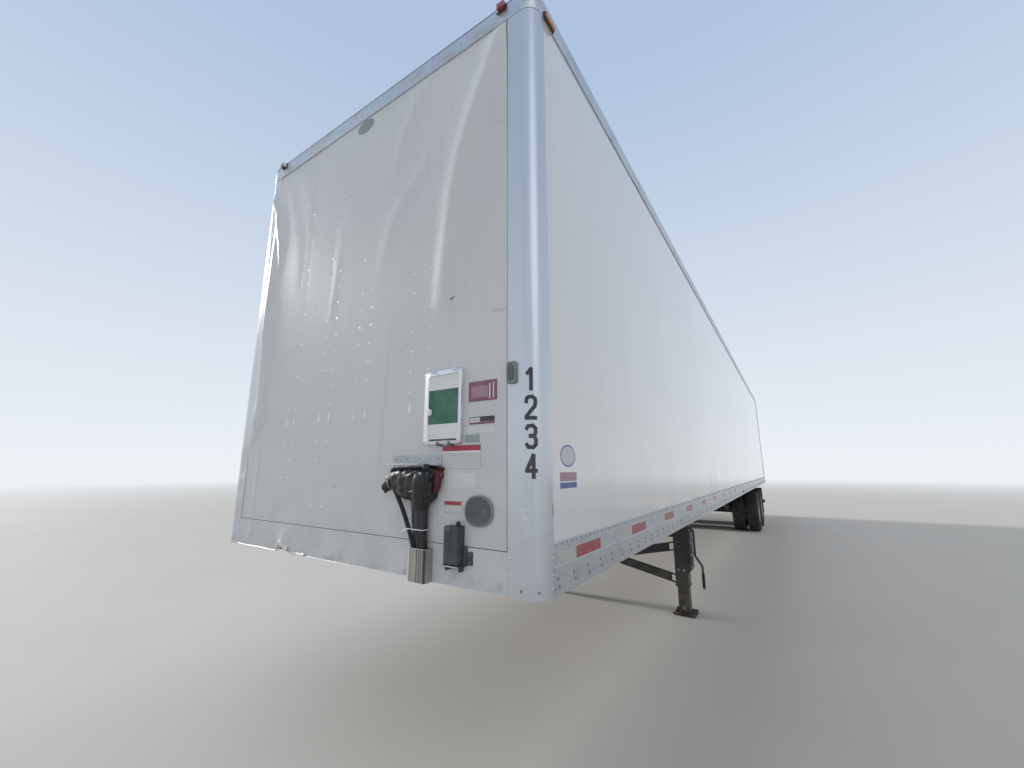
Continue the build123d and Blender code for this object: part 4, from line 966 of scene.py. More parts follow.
def rail_rivets():
    shape = Shape()
    first, last = rail_low.x + 0.03, rail_high.x - 0.02
    # Rows of the rails: how far behind the web and the first place, height, pitch, radius and sides
    rows = (
        (0.004, 0.0, rail_top - 0.012, 0.05, 0.0055, 6),
        (0.0, 0.0, sill + 0.065, 0.1525, 0.0080, 8),
        (0.0, 0.012, sill + 0.035, 0.1525, 0.0080, 8),
    )
    for side in (1, -1):
        out = (0, side, 0)
        for deep, back, z, pitch, radius, sides in rows:
            places = [(x - back, side * (half_w - deep), z) for x in spread(last, first, pitch)]
            shape.rivets(places, out, radius, "dull_rivet", sides)
        places = [(x, side * half_w, top_rail_z + 0.016) for x in spread(top_low.x - 0.02, first, 0.075)]
        shape.rivets(places, out, 0.0045, sides=6)
    for x, y, nx, ny in front_path(0.0, 0.075):
        shape.rivets([(x, y, z) for z in (top_rail_z + 0.020, body_top - 0.022)], (nx, ny, 0), 0.005)
    shape.build("rail_rivets", "chassis", "bare_aluminium")


def bands(first, last):
    """White and red lengths in turn from first to last."""
    made, at, white = [], first, True
    while at < last - 0.02:
        end = min(last, at + (0.178 if white else 0.279))
        made.append((at, end - 0.001, "white_tape" if white else "red_tape"))
        at, white = end, not white
    return made


def tape_strips():
    """Red and white tape along both bottom rails, the guard bar, the rear sill and the header corners."""
    shape = Shape()
    x = front_x - TAPE_FIRST
    while x - TAPE_WHITE - TAPE_RED > frame_high.x:
        for side in (1, -1):
            y = pair(side, half_w - 0.004, half_w - 0.004 + TAPE_T)
            z = (sill + TAPE_Z, sill + TAPE_Z + TAPE_H)
            shape.box((x - TAPE_WHITE, x), y, z, "white_tape")
            shape.box((x - TAPE_WHITE - TAPE_RED, x - TAPE_WHITE - 0.001), y, z, "red_tape")
        x -= TAPE_PITCH
    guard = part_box("underride_guard")[0]
    for face, foot, half in ((guard.x, guard.z + 0.025, 1.15), (rear_x, sill + 0.05, 0.92)):
        for low, high, look in bands(-half, half):
            shape.box((face - TAPE_T, face), (low, high), (foot, foot + TAPE_H), look)
    for side in (1, -1):
        for across, below, above in (((0.93, 1.23), 0.062, 0.012), ((1.245, 1.285), 0.36, 0.064)):
            z = (body_top - below, body_top - above)
            shape.box((rear_x - TAPE_T, rear_x), pair(side, *across), z, "white_tape")
    shape.build("tape", "chassis", "white_paint")


# Fittings on the front wall, as distances from the middle line and above the sill
def document_holder():
    """Shallow frame over a blank sheet, its latch, clips and hinges."""
    low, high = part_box("document_box")
    y, z, face = (low.y, high.y), (low.z, high.z), high.x
    sheet_y, sheet_z = (0.676, 0.868), up((0.634, 0.950))
    band_z = up((0.713, 0.880))
    sheet_x = face - 0.005

    def loop(d, r):
        return rounded(inset(y, d), inset(z, d), r)

    def around(d, r):
        return rounded(inset(sheet_y, -d), inset(sheet_z, -d), r)

    shape = Shape()
    stacked(shape, [
        (skin_x, loop(0, 0.016)), (face - 0.008, loop(0, 0.016)), (face - 0.003, loop(0.002, 0.015)),
        (face - 0.001, loop(0.005, 0.013)), (face - 0.001, around(0.008, 0.018)),
        (face + 0.001, around(0.005, 0.016)), (face + 0.001, around(0.003, 0.014)),
        (sheet_x, around(0, 0.012)),
    ], "holder", "white_print")
    # What lies on the sheet: thickness, Y span, Z span and look; after the green band come two dark strips of
    # painted shadow, at the band's left edge and along the sheet's foot
    for proud, across, upright, look in (
        (0.0008, (sheet_y[0] + 0.005, sheet_y[1] - 0.004), band_z, "green_print"),
        # Painted shadow at the green band's left edge.
        (0.0014, (sheet_y[0] + 0.001, sheet_y[0] + 0.005), band_z, "digit_print"),
        # Painted shadow along the sheet's foot.
        (0.0020, inset(sheet_y, 0.012), (sheet_z[0], sheet_z[0] + 0.007), "digit_print"),
    ):
        shape.box((sheet_x, sheet_x + proud), across, upright, look)
    latch = [(0, 0.017), (0.004, 0.017), (0.007, 0.013), (0.007, 0)]
    shape.turned([(face - 0.001, 0.687, sill + 0.772)], (1, 0, 0), latch, "white_print", 18)
    for pin_y in (0.745, 0.816):
        shape.box((skin_x, face + 0.002), about(pin_y, 0.007), (z[0] - 0.008, z[0] + 0.012), "grey_plastic")
    for clip_y in (0.700, 0.846):
        shape.box((face - 0.010, face + 0.002), about(clip_y, 0.011), (z[1] - 0.012, z[1] + 0.003), "rail")
    corners = [(face - 0.001, a, b) for a in (y[0] + 0.012, y[1] - 0.008) for b in inset(z, 0.010)]
    shape.rivets(corners, (1, 0, 0), 0.004, "zinc")
    piece = shape.build("document_holder", "chassis", "holder_metal", bevel=0.0006)
    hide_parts("document_box")


# Blank stickers: Y span, Z span above the sill, edge, edge's look, field's look, and patches on the
# field as shares of its width and height
STICKERS = [
    ((0.908, 1.071), (0.807, 0.902), 0.004, "plum_print", "plum_print",
     [(0.08, 0.70, 0.16, 0.78, "faded_print"), (0.74, 0.79, 0.08, 0.86, "dull_print"),
      (0.88, 0.92, 0.08, 0.90, "dull_print")]),
    ((0.916, 1.058), (0.702, 0.736), 0.003, "digit_print", "plum_print",
     [(0.0, 0.42, 0.2, 1.0, "grey_print"), (0.45, 1.0, 0.35, 1.0, "digit_print")]),
    ((0.897, 1.063), (0.661, 0.695), 0.001, "grey_print", "dull_print", []),
    ((0.889, 0.978), (0.618, 0.658), 0.002, "grey_print", "slate_print", []),
    ((0.753, 0.984), (0.504, 0.611), 0.002, "slate_print", "white_print",
     [(0.0, 1.0, 0.76, 1.0, "red_print"), (0.012, 0.988, 0.03, 0.68, "grey_print")]),
    ((0.793, 0.958), (0.416, 0.486), 0.001, "grey_print", "dull_print", []),
    ((0.775, 0.886), (0.305, 0.358), 0.002, "slate_print", "grey_print",
     [(0.0, 0.93, 0.68, 1.0, "red_print")]),
]
STICKER_T = 0.0006
SIDE_PLATE_BACK, SIDE_PLATE_Z = 0.265, 0.560
# Outline of a scratch through the paint, as (Y, Z above the sill)
NICK = [(0.762, 1.338), (0.780, 1.346), (0.805, 1.357), (0.800, 1.361), (0.777, 1.354), (0.760, 1.345)]


def stickers():
    """Blank stickers and plates on the front wall and on the left side wall, and a scratch."""
    shape = Shape()
    for y, z, edge, border, field, patches in STICKERS:
        x = skin_at(sum(y) / 2, sum(z) / 2) + 0.0004
        shape.prism(rounded(y, up(z), 0.005), "X", x - 0.003, x + STICKER_T, border)
        (y0, y1), (z0, z1) = inset(y, edge), up(inset(z, edge))
        shape.box((x, x + 1.5 * STICKER_T), (y0, y1), (z0, z1), field)
        for ya, yb, za, zb, look in patches:
            span_y = (y0 + ya * (y1 - y0), y0 + yb * (y1 - y0))
            span_z = (z0 + za * (z1 - z0), z0 + zb * (z1 - z0))
            shape.box((x, x + 2 * STICKER_T), span_y, span_z, look)
    x = skin_at(-0.055, 2.81)
    oval = [(0.083 * cos(a) - 0.050, sill + 2.812 + 0.050 * sin(a)) for a in turns(40)]
    shape.prism(oval, "X", x - 0.004, x + 0.0012, "emblem")
    x, z = front_x - SIDE_PLATE_BACK, sill + SIDE_PLATE_Z
    for half_x, half_z, proud, look in ((0.077, 0.050, 1, "blue_print"), (0.070, 0.043, 1.6, "grey_print")):
        oval = [(x + half_x * cos(a), z + half_z * sin(a)) for a in turns(40)]
        shape.prism(oval, "Y", wall_y, wall_y + proud * STICKER_T, look)
    for bar_z, look in (((0.448, 0.487), "faded_print"), ((0.417, 0.442), "blue_print")):
        shape.box(about(x, 0.085), (wall_y, wall_y + STICKER_T), up(bar_z), look)
    x = skin_at(0.785, 1.350) + 0.0010
    shape.prism([(a, sill + b) for a, b in NICK], "X", x - 0.003, x, "seam")
    shape.build("stickers", "chassis", "white_paint")


DIGIT_W, DIGIT_H, DIGIT_STROKE = 0.042, 0.090, 0.0165
DIGIT_MIDDLE, DIGIT_TOP, DIGIT_PITCH = 0.116, 0.925, 0.1225
# Strokes of the plain digits 1 to 4, as points in shares of the digit's width and height
DIGITS = [
    [[(0.15, 0.78), (0.55, 1.0), (0.55, 0.0)]],
    [[(0.02, 0.76), (0.08, 0.93), (0.30, 1.0), (0.70, 1.0), (0.94, 0.90), (0.98, 0.72), (0.88, 0.54),
      (0.05, 0.08), (0.05, 0.0), (1.0, 0.0)]],
    [[(0.03, 0.86), (0.22, 0.98), (0.70, 1.0), (0.94, 0.88), (0.96, 0.68), (0.82, 0.54), (0.40, 0.52)],
     [(0.40, 0.52), (0.84, 0.50), (0.99, 0.34), (0.96, 0.12), (0.72, 0.0), (0.24, 0.01), (0.02, 0.14)]],
    [[(0.72, 0.0), (0.72, 1.0), (0.02, 0.30), (1.0, 0.30)]],
]


def post_digits():
    """Plain digits down the left corner post, wrapped round its curve."""
    shape = Shape()
    for i, strokes in enumerate(DIGITS):
        base = sill + DIGIT_TOP - DIGIT_H - i * DIGIT_PITCH
        for a, b in [ends for stroke in strokes for ends in zip(stroke, stroke[1:])]:
            a, b = np.array(a) * (DIGIT_W, DIGIT_H), np.array(b) * (DIGIT_W, DIGIT_H)
            way = (b - a) / np.linalg.norm(b - a)
            across = np.array((-way[1], way[0])) * DIGIT_STROKE / 2
            a, b = a - way * DIGIT_STROKE / 3, b + way * DIGIT_STROKE / 3
            rows = []
            for t in np.linspace(0, 1, 2 + int(np.linalg.norm(b - a) / 0.006)):
                spots = [a + (b - a) * t + across * k for k in (-1, -0.33, 0.33, 1)]
                rows.append([post_spot(DIGIT_MIDDLE - DIGIT_W / 2 + s, base + v, 0.0008) for s, v in spots])
            shape.grid(rows, "digit_print")
    shape.build("post_digits", "chassis", "black_rubber")


# Outline of the wrapped connectors seen from the front, as (Y, Z above the sill), and their depth at each
# Y; they hang a little nearer to the middle line than these Y
HOOD_TOP = [(0.458, 0.478), (0.475, 0.498), (0.510, 0.511), (0.60, 0.516), (0.715, 0.517), (0.736, 0.508),
            (0.746, 0.486)]
HOOD_FOOT = [(0.458, 0.436), (0.478, 0.404), (0.510, 0.378), (0.545, 0.360), (0.60, 0.350), (0.72, 0.346),
             (0.746, 0.366)]
HOOD_DEPTH = [(0.458, 0.044), (0.485, 0.062), (0.56, 0.078), (0.66, 0.081), (0.73, 0.074), (0.746, 0.056)]
HOOD_SHIFT = -0.010


def signed_power(value, power):
    return abs(value) ** power * (1 if value > 0 else -1)


def hood_run(points, steps=6):
    return smooth_path(on_wall([(x, y + HOOD_SHIFT, z) for x, y, z in points]), steps)


def connectors():
    """The wrapped connectors under the drip shield, with a plug and a red coupling beside them, its red
    darkened as painted shade.
    """
    def at(table, y):
        return float(np.interp(y, [p[0] for p in table], [p[1] for p in table]))

    shape = Shape()
    rows = []
    for y in np.concatenate([[0.458, 0.460], np.linspace(0.466, 0.738, 44), [0.743, 0.746]]):
        top, foot, depth = at(HOOD_TOP, y), at(HOOD_FOOT, y), at(HOOD_DEPTH, y)
        row = []
        for a in turns(60):
            across, rise = signed_power(cos(a), 0.55), signed_power(sin(a), 0.62)
            z = (top + foot) / 2 + (top - foot) / 2 * rise
            lean = 1 - 0.28 * max(0.0, rise - 0.55) / 0.45 - 0.35 * max(0.0, -rise - 0.4) / 0.6
            x = 0.003 + depth * lean * (0.5 + 0.5 * across)
            fold = 0.0035 * sin(95 * y + 26 * z + 5 * sin(31 * z)) + 0.003 * sin(150 * z - 60 * y)
            row.append((skin_x + x + fold * max(0.0, cos(a)), y + HOOD_SHIFT, sill + z))
        rows.append(wobble(row, 0.007, 30.0))
    shape.solid(rows, "wrap")

    hem = [(0.030, 0.452, 0.470), (0.046, 0.468, 0.490), (0.060, 0.500, 0.506), (0.064, 0.60, 0.511),
           (0.066, 0.712, 0.515)]
    shape.tube(wobble(hood_run(hem), 0.003, 40.0), 0.0085, "wrap", 12)
    knob = [(-0.016, 0), (-0.016, 0.012), (-0.010, 0.016), (0.014, 0.016), (0.019, 0.012), (0.019, 0)]
    shape.turned([(skin_x + 0.062, 0.722 + HOOD_SHIFT, sill + 0.509)], (1, 0.15, 0), knob, "wrap", 20)
    neck = [(0.050, 0.700, 0.470), (0.056, 0.690, 0.420), (0.044, 0.676, 0.372), (0.031, 0.665, 0.330)]
    neck = hood_run(neck, 8)
    shape.tube(wobble(neck, 0.005, 34.0), np.linspace(0.050, 0.040, len(neck)), "wrap", 28)
    fold = [(0.058, 0.735, 0.500), (0.078, 0.742, 0.455), (0.074, 0.738, 0.410), (0.056, 0.716, 0.350)]
    shape.tube(wobble(hood_run(fold), 0.003, 40.0), 0.007, "wrap", 10)

    plug_at, axis = (skin_x + 0.036, 0.474 + HOOD_SHIFT, sill + 0.436), (0.06, -0.90, -0.38)
    plug = [(-0.010, 0.021), (0.004, 0.023), (0.012, 0.0265), (0.048, 0.0265), (0.056, 0.024), (0.062, 0.019),
            (0.068, 0.019), (0.068, 0)]
    shape.turned([plug_at], axis, plug, "rubber", 26)
    ring = [(0.014, 0.0268), (0.014, 0.0285), (0.020, 0.0285), (0.020, 0.0268)]
    shape.turned([plug_at], axis, ring, "steel", 26)
    for y0, z0, y1, z1 in ((0.431, 0.452, 0.456, 0.466), (0.466, 0.470, 0.486, 0.481)):
        lug = [(0.052, y0, z0), (0.056, (y0 + y1) / 2, (z0 + z1) / 2 + 0.002), (0.052, y1, z1)]
        shape.tube(hood_run(lug, 3), 0.0055, "holder", 8)
    for y, z, length in ((0.418, 0.396, 0.022), (0.432, 0.385, 0.016)):
        tooth = [(0, 0.009), (length, 0.007), (length, 0)]
        place = (skin_x + 0.044, y + HOOD_SHIFT, sill + z + length)
        shape.turned([place], (0.05, -0.35, -0.93), tooth, "rubber")

    # The coupling's deep red includes painted shade.
    body = [(0, 0.027), (0.020, 0.027), (0.026, 0.025), (0.040, 0.022), (0.043, 0.015), (0.038, 0.012),
            (0.038, 0)]
    shape.turned([(skin_x + 0.002, 0.742, sill + 0.474)], (1, 0, 0), body, "shaded_red_plastic", 28)
    elbow = [(0.020, 0.754, 0.462), (0.026, 0.758, 0.440), (0.026, 0.756, 0.418), (0.024, 0.746, 0.398)]
    elbow = hood_run(elbow)
    shape.tube(elbow, np.linspace(0.022, 0.015, len(elbow)), "shaded_red_plastic", 20)
    shape.box((skin_x, skin_x + 0.012), (0.716, 0.770), up((0.494, 0.511)), "shaded_red_plastic")
    shape.rivets([(skin_x + 0.040, 0.736, sill + 0.487)], (1, 0, 0), 0.004, "zinc")
    piece = shape.build("connectors", "chassis", "black_rubber", angle=60)
    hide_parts("connector_box")


BUNDLE_TOP = 0.366


def nose_hoses():
    """The taped bundle and the single hose that go down into the duct, with a white tie."""
    low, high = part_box("hoses")
    x, far_y = skin_x + 0.029, high.y - 0.019
    shape = Shape()
    rows = []
    for t in np.linspace(0, 1, 46):
        z = sill + BUNDLE_TOP - (sill + BUNDLE_TOP - low.z) * t
        width = float(np.interp(z - sill, (0.146, BUNDLE_TOP), (0.066, 0.102)))
        row = []
        for a in turns(36):
            lump = 1 + 0.09 * cos(6 * a + 0.8 * t) - 0.05 * cos(2 * a)
            row.append((x + 0.0175 * lump * cos(a), far_y - width / 2 * (1 - lump * sin(a)), z))
        rows.append(wobble(row, 0.003, 28.0, 3.0))
    shape.solid(rows, "wrap")
    route = [(0.468, 0.420), (0.492, 0.383), (0.540, 0.312), (0.582, 0.238), (0.610, 0.180), (0.621, 0.150),
             (0.6245, 0.120), (0.6285, low.z - sill)]
    shape.tube(smooth_path(on_wall([(0.0385, a, b) for a, b in route])), 0.0105, "rubber", 16)
    loop = rounded((skin_x + 0.010, skin_x + 0.052), (0.582, 0.693), 0.016)
    tie = [(a, b, sill + 0.2275 + 0.02 * (0.60 - b)) for a, b in loop]
    shape.tube(tie + tie[:1], 0.0022, "white_print", 6)
    tail = [(0.052, 0.600, 0.2275), (0.057, 0.585, 0.223), (0.058, 0.570, 0.215), (0.054, 0.555, 0.207)]
    shape.tube(smooth_path(on_wall(tail), 5), np.linspace(0.0040, 0.0052, 16), "white_print", 8)
    piece = shape.build("nose_hoses", "chassis", "black_rubber", angle=60)
    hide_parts("hoses")


def electric_box(shape):
    """Ribbed box low on the nose panel, on its shelf, with a gland on top and a screwed dark ear beside it,
    partly a bracket and partly the box's painted shadow.
    """
    x = nose_high.x
    y, z = (0.817, 0.900), up((0.096, 0.255))
    shelf_y = (y[0] - 0.002, y[1] + 0.005)

    def loop(d, r=0.004):
        return rounded(inset(y, d), inset(z, d), r)

    shape.box((skin_x, x + 0.001), y, (nose_high.z, z[1]), "dark_plastic")
    shape.box((x, x + 0.044), shelf_y, up((0.084, 0.094)), "dark_plastic")
    shape.box((x + 0.044, x + 0.0455), shelf_y, up((0.0865, 0.0915)), "rail")
    for foot_y in (y[0] + 0.005, y[1] - 0.001):
        shape.box((x, x + 0.030), about(foot_y, 0.004), up((0.068, 0.084)), "dark_plastic")
    stacked(shape, [
        (x, loop(0)), (x + 0.030, loop(0)), (x + 0.030, loop(0.002)), (x + 0.032, loop(0.002)),
        (x + 0.032, loop(0)), (x + 0.043, loop(0.001)), (x + 0.046, loop(0.005)), (x + 0.046, loop(0.014)),
        (x + 0.0445, loop(0.016, 0.003)),
    ], "dark_plastic")
    gland = [(0, 0.014), (0.005, 0.014), (0.007, 0.010), (0.019, 0.009), (0.021, 0.006), (0.021, 0)]
    shape.turned([(x + 0.023, 0.884, z[1] - 0.001)], (0, 0, 1), gland, "rubber", 18)
    # The dark ear right of the box: partly a bracket, partly painted shadow cast by the box.
    shape.box((x, x + 0.012), (0.903, 0.922), up((0.092, 0.172)), "dark_plastic")
    shape.box((x, x + 0.006), (0.922, 0.951), up((0.096, 0.150)), "dark_plastic")
    shape.rivets([(x + 0.006, 0.937, b) for b in up((0.108, 0.138))], (1, 0, 0), 0.005, "steel")


def vent_cap(shape):
    """Squarish round cap with a sunk middle."""
    def loop(share):
        spots = [(signed_power(cos(a), 0.85), signed_power(sin(a), 0.85)) for a in turns(56)]
        return [(0.980 + 0.077 * share * c, sill + 0.322 + 0.066 * share * s) for c, s in spots]

    steps = ((0, 1), (0.009, 1), (0.012, 0.97), (0.013, 0.93), (0.0120, 0.90))
    stacked(shape, [(skin_x + out, loop(share)) for out, share in steps], "slate_plastic", "vent_plastic")


def post_marker(shape):
    """Small marker on the left corner post, with its cover and two screws."""
    y, z = (1.131, 1.181), up((0.867, 0.968))
    face = post_high.x
    # Out of the post, inset along Y and Z, and corner radius
    steps = ((0, 0, 0, 0.014), (0.010, 0, 0, 0.014), (0.014, 0.003, 0.003, 0.012),
             (0.014, 0.008, 0.010, 0.008), (0.011, 0.010, 0.012, 0.007))
    loops = [(face + out, rounded(inset(y, a), inset(z, b), r)) for out, a, b, r in steps]
    stacked(shape, loops, "slate_plastic")
    cover = rounded((1.143, 1.169), up((0.885, 0.950)), 0.010)
    shape.prism(cover, "X", face + 0.010, face + 0.0145, "grey_plastic")
    shape.rivets([(face + 0.011, 1.156, b) for b in up((0.881, 0.954))], (1, 0, 0), 0.0035, "steel")


def nose_fittings():
    """Electric box, vent cap and post marker; ribs on the duct with painted light on its edges, rivets on the
    shield and a white strip along its lower edge as a painted highlight.
    """
    shape = Shape()
    electric_box(shape)
    vent_cap(shape)
    post_marker(shape)
    piece = shape.build("nose_fittings", "chassis", "grey_plastic", bevel=0.0008)
    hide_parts("nose_boxes")
    ribs = Shape()
    duct_x, duct_z = nose_high.x + 0.052, up((0.002, 0.144))
    for rib_y, half in ((0.664, 0.002), (0.676, 0.004), (0.690, 0.003), (0.702, 0.004)):
        ribs.box((duct_x, duct_x + 0.004), about(rib_y, half), duct_z, "duct")
    # Bright holder metal on the duct's left edge is a painted highlight; the dark strip on its right edge is
    # painted shadow.
    ribs.box((duct_x - 0.004, duct_x + 0.003), (0.612, 0.619), duct_z, "holder")
    ribs.box((duct_x - 0.006, duct_x + 0.003), (0.7105, 0.716), duct_z, "dark_plastic")
    rivet_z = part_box("nose_brackets")[1].z - 0.018
    places = [(skin_x + 0.004, y, rivet_z) for y in (0.438, 0.520, 0.603, 0.680, 0.733)]
    ribs.rivets(places, (1, 0, 0), 0.0045, "steel")
    # White strip along the shield's lower edge: a painted highlight.
    shield_highlight_x = skin_x + 0.048
    ribs.box((shield_highlight_x - 0.0005, shield_highlight_x + 0.0012), (0.412, 0.640), up((0.5200, 0.5290)), "white_print")
    ribs.build("duct_ribs", "chassis", "bare_aluminium", bevel=0.0008)


# Landing gear
FOOT_HALF_Y = 0.12
GEARBOX_Y = 0.132


def landing_trim():
    """Bolts, gearbox covers, foot pins and the crank's grip."""
    shape = Shape()
    legs_low, legs_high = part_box("landing_legs")
    crank_low, crank_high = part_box("landing_crank")
    leg_x = middle_xz("landing_feet")[0]
    leg_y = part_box("landing_feet")[1].y - FOOT_HALF_Y
    shaft_z = middle_xz("landing_drive")[1]
    plate_z, cover_y = legs_high.z - 0.010, leg_y - GEARBOX_Y
    cover = rounded(about(leg_x, 0.056), about(shaft_z, 0.085), 0.02)
    boss = [(0, 0.032), (0.05, 0.032), (0.054, 0.028), (0.054, 0.019)]
    pin = [(0, 0.017), (0.012, 0.017), (0.014, 0.014), (0.014, 0)]
    for side in (1, -1):
        rows = [sill - 0.07 - 0.135 * i for i in range(5)]
        spots = [(leg_x + dx, side * legs_high.y, z) for z in rows for dx in (-0.055, 0.055)]
        shape.bolts(spots, (0, side, 0), 0.012)
        spots = [(leg_x + dx, side * (leg_y + dy), plate_z) for dx in (-0.15, 0.15) for dy in (-0.05, 0.09)]
        shape.bolts(spots, (0, 0, -1), 0.010)
        shape.prism(cover, "Y", *pair(side, cover_y, cover_y - 0.006), "black")
        face = side * (cover_y - 0.006)
        spots = [(leg_x + dx, face, shaft_z + dz) for dx in (-0.045, 0.045) for dz in (-0.072, 0.0, 0.072)]
        shape.bolts(spots, (0, -side, 0), 0.006)
        shape.turned([(leg_x, side * cover_y, shaft_z)], (0, -side, 0), boss, "black", 20)
        for way in (1, -1):
            low_x, high_x = leg_x + way * 0.0705, leg_x + way * 0.0765
            plate_y = pair(side, *about(leg_y, 0.05))
            shape.box(sorted((low_x, high_x)), plate_y, up((-0.70, -0.60)), "black")
            spots = [(high_x, side * (leg_y + dy), sill - 0.65) for dy in (-0.032, 0.032)]
            shape.bolts(spots, (way, 0, 0), 0.008)
        collar_z = (legs_low.z, legs_low.z + 0.022)
        shape.box(about(leg_x, 0.076), pair(side, *about(leg_y, 0.076)), collar_z, "black")
        for way in (1, -1):
            shape.turned([(leg_x + way * 0.059, side * leg_y, 0.075)], (way, 0, 0), pin, "steel", 18)
        shape.box(about(leg_x, 0.085), pair(side, *about(leg_y, 0.03)), (0.012, 0.040), "black")
    grip = [(0, 0.013), (0.004, 0.0165), (0.150, 0.0165), (0.154, 0.013)]
    shape.turned([(leg_x, crank_high.y - 0.0125, crank_low.z + 0.015)], (0, 0, 1), grip, "rubber", 18)
    collar = [(0, 0.030), (0.012, 0.030), (0.016, 0.024), (0.022, 0.020), (0.022, 0.0126)]
    shape.turned([(leg_x, legs_high.y, shaft_z)], (0, 1, 0), collar, "black", 20)
    shape.build("landing_trim", "chassis", "black_steel", bevel=0.0012)


# Wheels
TYRE_W = 0.280
BEAD_R, BEAD_HALF_W = 0.2853, 0.1117
TREAD_GROOVES = (-0.068, -0.025, 0.025, 0.068)
TREAD_RIBS = (-0.094, -0.082, -0.054, -0.040, -0.012, 0.0, 0.012, 0.040, 0.054, 0.082, 0.094)
GROOVE_DEPTH = 0.012
TYRE_SIDES = 200


def tyre_wall(outer_r, half):
    """Half section from the bead to the shoulder, as (V, radius)."""
    wall = [
        (BEAD_HALF_W, BEAD_R), (BEAD_HALF_W + 0.001, BEAD_R + 0.014), (BEAD_HALF_W + 0.012, BEAD_R + 0.028),
        (half * 0.955, BEAD_R + 0.058), (half, (BEAD_R + outer_r) / 2 - 0.005),
        (half * 0.985, outer_r - 0.072), (half * 0.935, outer_r - 0.030), (half * 0.86, outer_r - 0.010),
        (half * 0.78, outer_r - 0.003),
    ]
    return [(float(p[0]), float(p[1])) for p in smooth_path([(v, r, 0) for v, r in wall], 3)]


def tyres(node, body):
    """Both tyres of a twin wheel, with ribs, grooves, shoulder notches and side wall rings."""
    low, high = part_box(node)
    cx, cz = middle_xz(node)
    outer_r, half = (high.z - low.z) / 2, TYRE_W / 2
    wall = tyre_wall(outer_r, half)
    shoulder = wall[-1][0]
    groove = ((-0.0062, 0), (-0.0045, 1), (0.0045, 1), (0.0062, 0))
    tread = [(at + d, cut) for at in TREAD_GROOVES for d, cut in groove] + [(v, 0) for v in TREAD_RIBS]
    tread.sort(reverse=True)
    shape = Shape()
    for middle in (low.y + half, high.y - half):
        rows = []
        for i, a in enumerate(turns(TYRE_SIDES)):
            zig = 0.0016 * (1 if i % 4 < 2 else -1)
            sipe = 0.0022 if i % 4 == 0 else 0.0
            notch = 0.0055 if i % 8 < 2 else 0.0
            section = []
            for v, r in wall:
                ring = 0.0011 if abs(r - 0.345) < 0.006 or abs(r - 0.415) < 0.004 else 0.0
                below = outer_r - r
                cut = notch * min(1, max(0, (0.034 - below) / 0.02)) * min(1, max(0, below / 0.002))
                section.append((v + ring - cut, r))
            crown = []
            for v, in_groove in tread:
                sunk = sipe if abs(v) > 0.05 or abs(v) < 0.02 else 0.0
                r = outer_r - 0.0022 * (v / shoulder) ** 2 - (GROOVE_DEPTH if in_groove else sunk)
                crown.append((v + (zig if abs(v) < 0.09 else 0), r))
            full = section + crown + [(-v, r) for v, r in reversed(section)]
            rows.append([(cx + r * sin(a), middle + v, cz + r * cos(a)) for v, r in full])
        shape.grid(rows + rows[:1], "tyre", closed=True)
    piece = shape.build(node.replace("tyres", "treads"), body, "tyre", angle=32)
    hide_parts(node)


def wheel_trim(node, body, side):
    """Wheel nuts, hub cap bolts, the cap's rim and the valves."""
    cx, cz = middle_xz(node)
    out = (0, side, 0)
    valve_r = 0.262
    shape = Shape()

    def at(proud):
        return side * (WHEEL_Y + proud)

    def ring(count, radius, proud):
        return [(cx + radius * sin(a), at(proud), cz + radius * cos(a)) for a in turns(count)]

    shape.bolts(ring(10, 0.1429, 0.011), out, 0.0165, "steel")
    stud = [(0, 0.011), (0.030, 0.011), (0.032, 0.009), (0.032, 0)]
    shape.turned(ring(10, 0.1429, 0.011), out, stud, "steel", 10)
    shape.bolts(ring(6, 0.070, 0.100), out, 0.0055, "zinc")
    cap = [(0, 0.0785), (0.006, 0.0785), (0.008, 0.074), (0.008, 0.0665)]
    shape.turned([(cx, at(0.0995), cz)], out, cap, "zinc", 40)
    lid = [(0, 0.050), (0.003, 0.050), (0.004, 0.046), (0.002, 0.042), (0.002, 0.016), (0.006, 0.014),
           (0.006, 0)]
    shape.turned([(cx, at(0.138), cz)], out, lid, "rubber", 36)
    valve = ((0.066, 0), (0.105, 0.012), (0.150, 0.020))
    valve = [(cx, at(proud), cz + valve_r - drop) for proud, drop in valve]
    shape.tube(smooth_path(valve, 5), 0.0045, "steel", 10)
    weight = ((-0.035, 0.012), (0.035, 0.012), (0.033, 0), (-0.033, 0))
    weight = [(cx + dx, cz - valve_r - drop) for dx, drop in weight]
    shape.prism(weight, "Y", *pair(side, WHEEL_Y + 0.2887, WHEEL_Y + 0.2967), "zinc")
    shape.build(node.replace("wheel", "wheel_trim"), body, "bare_steel", bevel=0.0008)


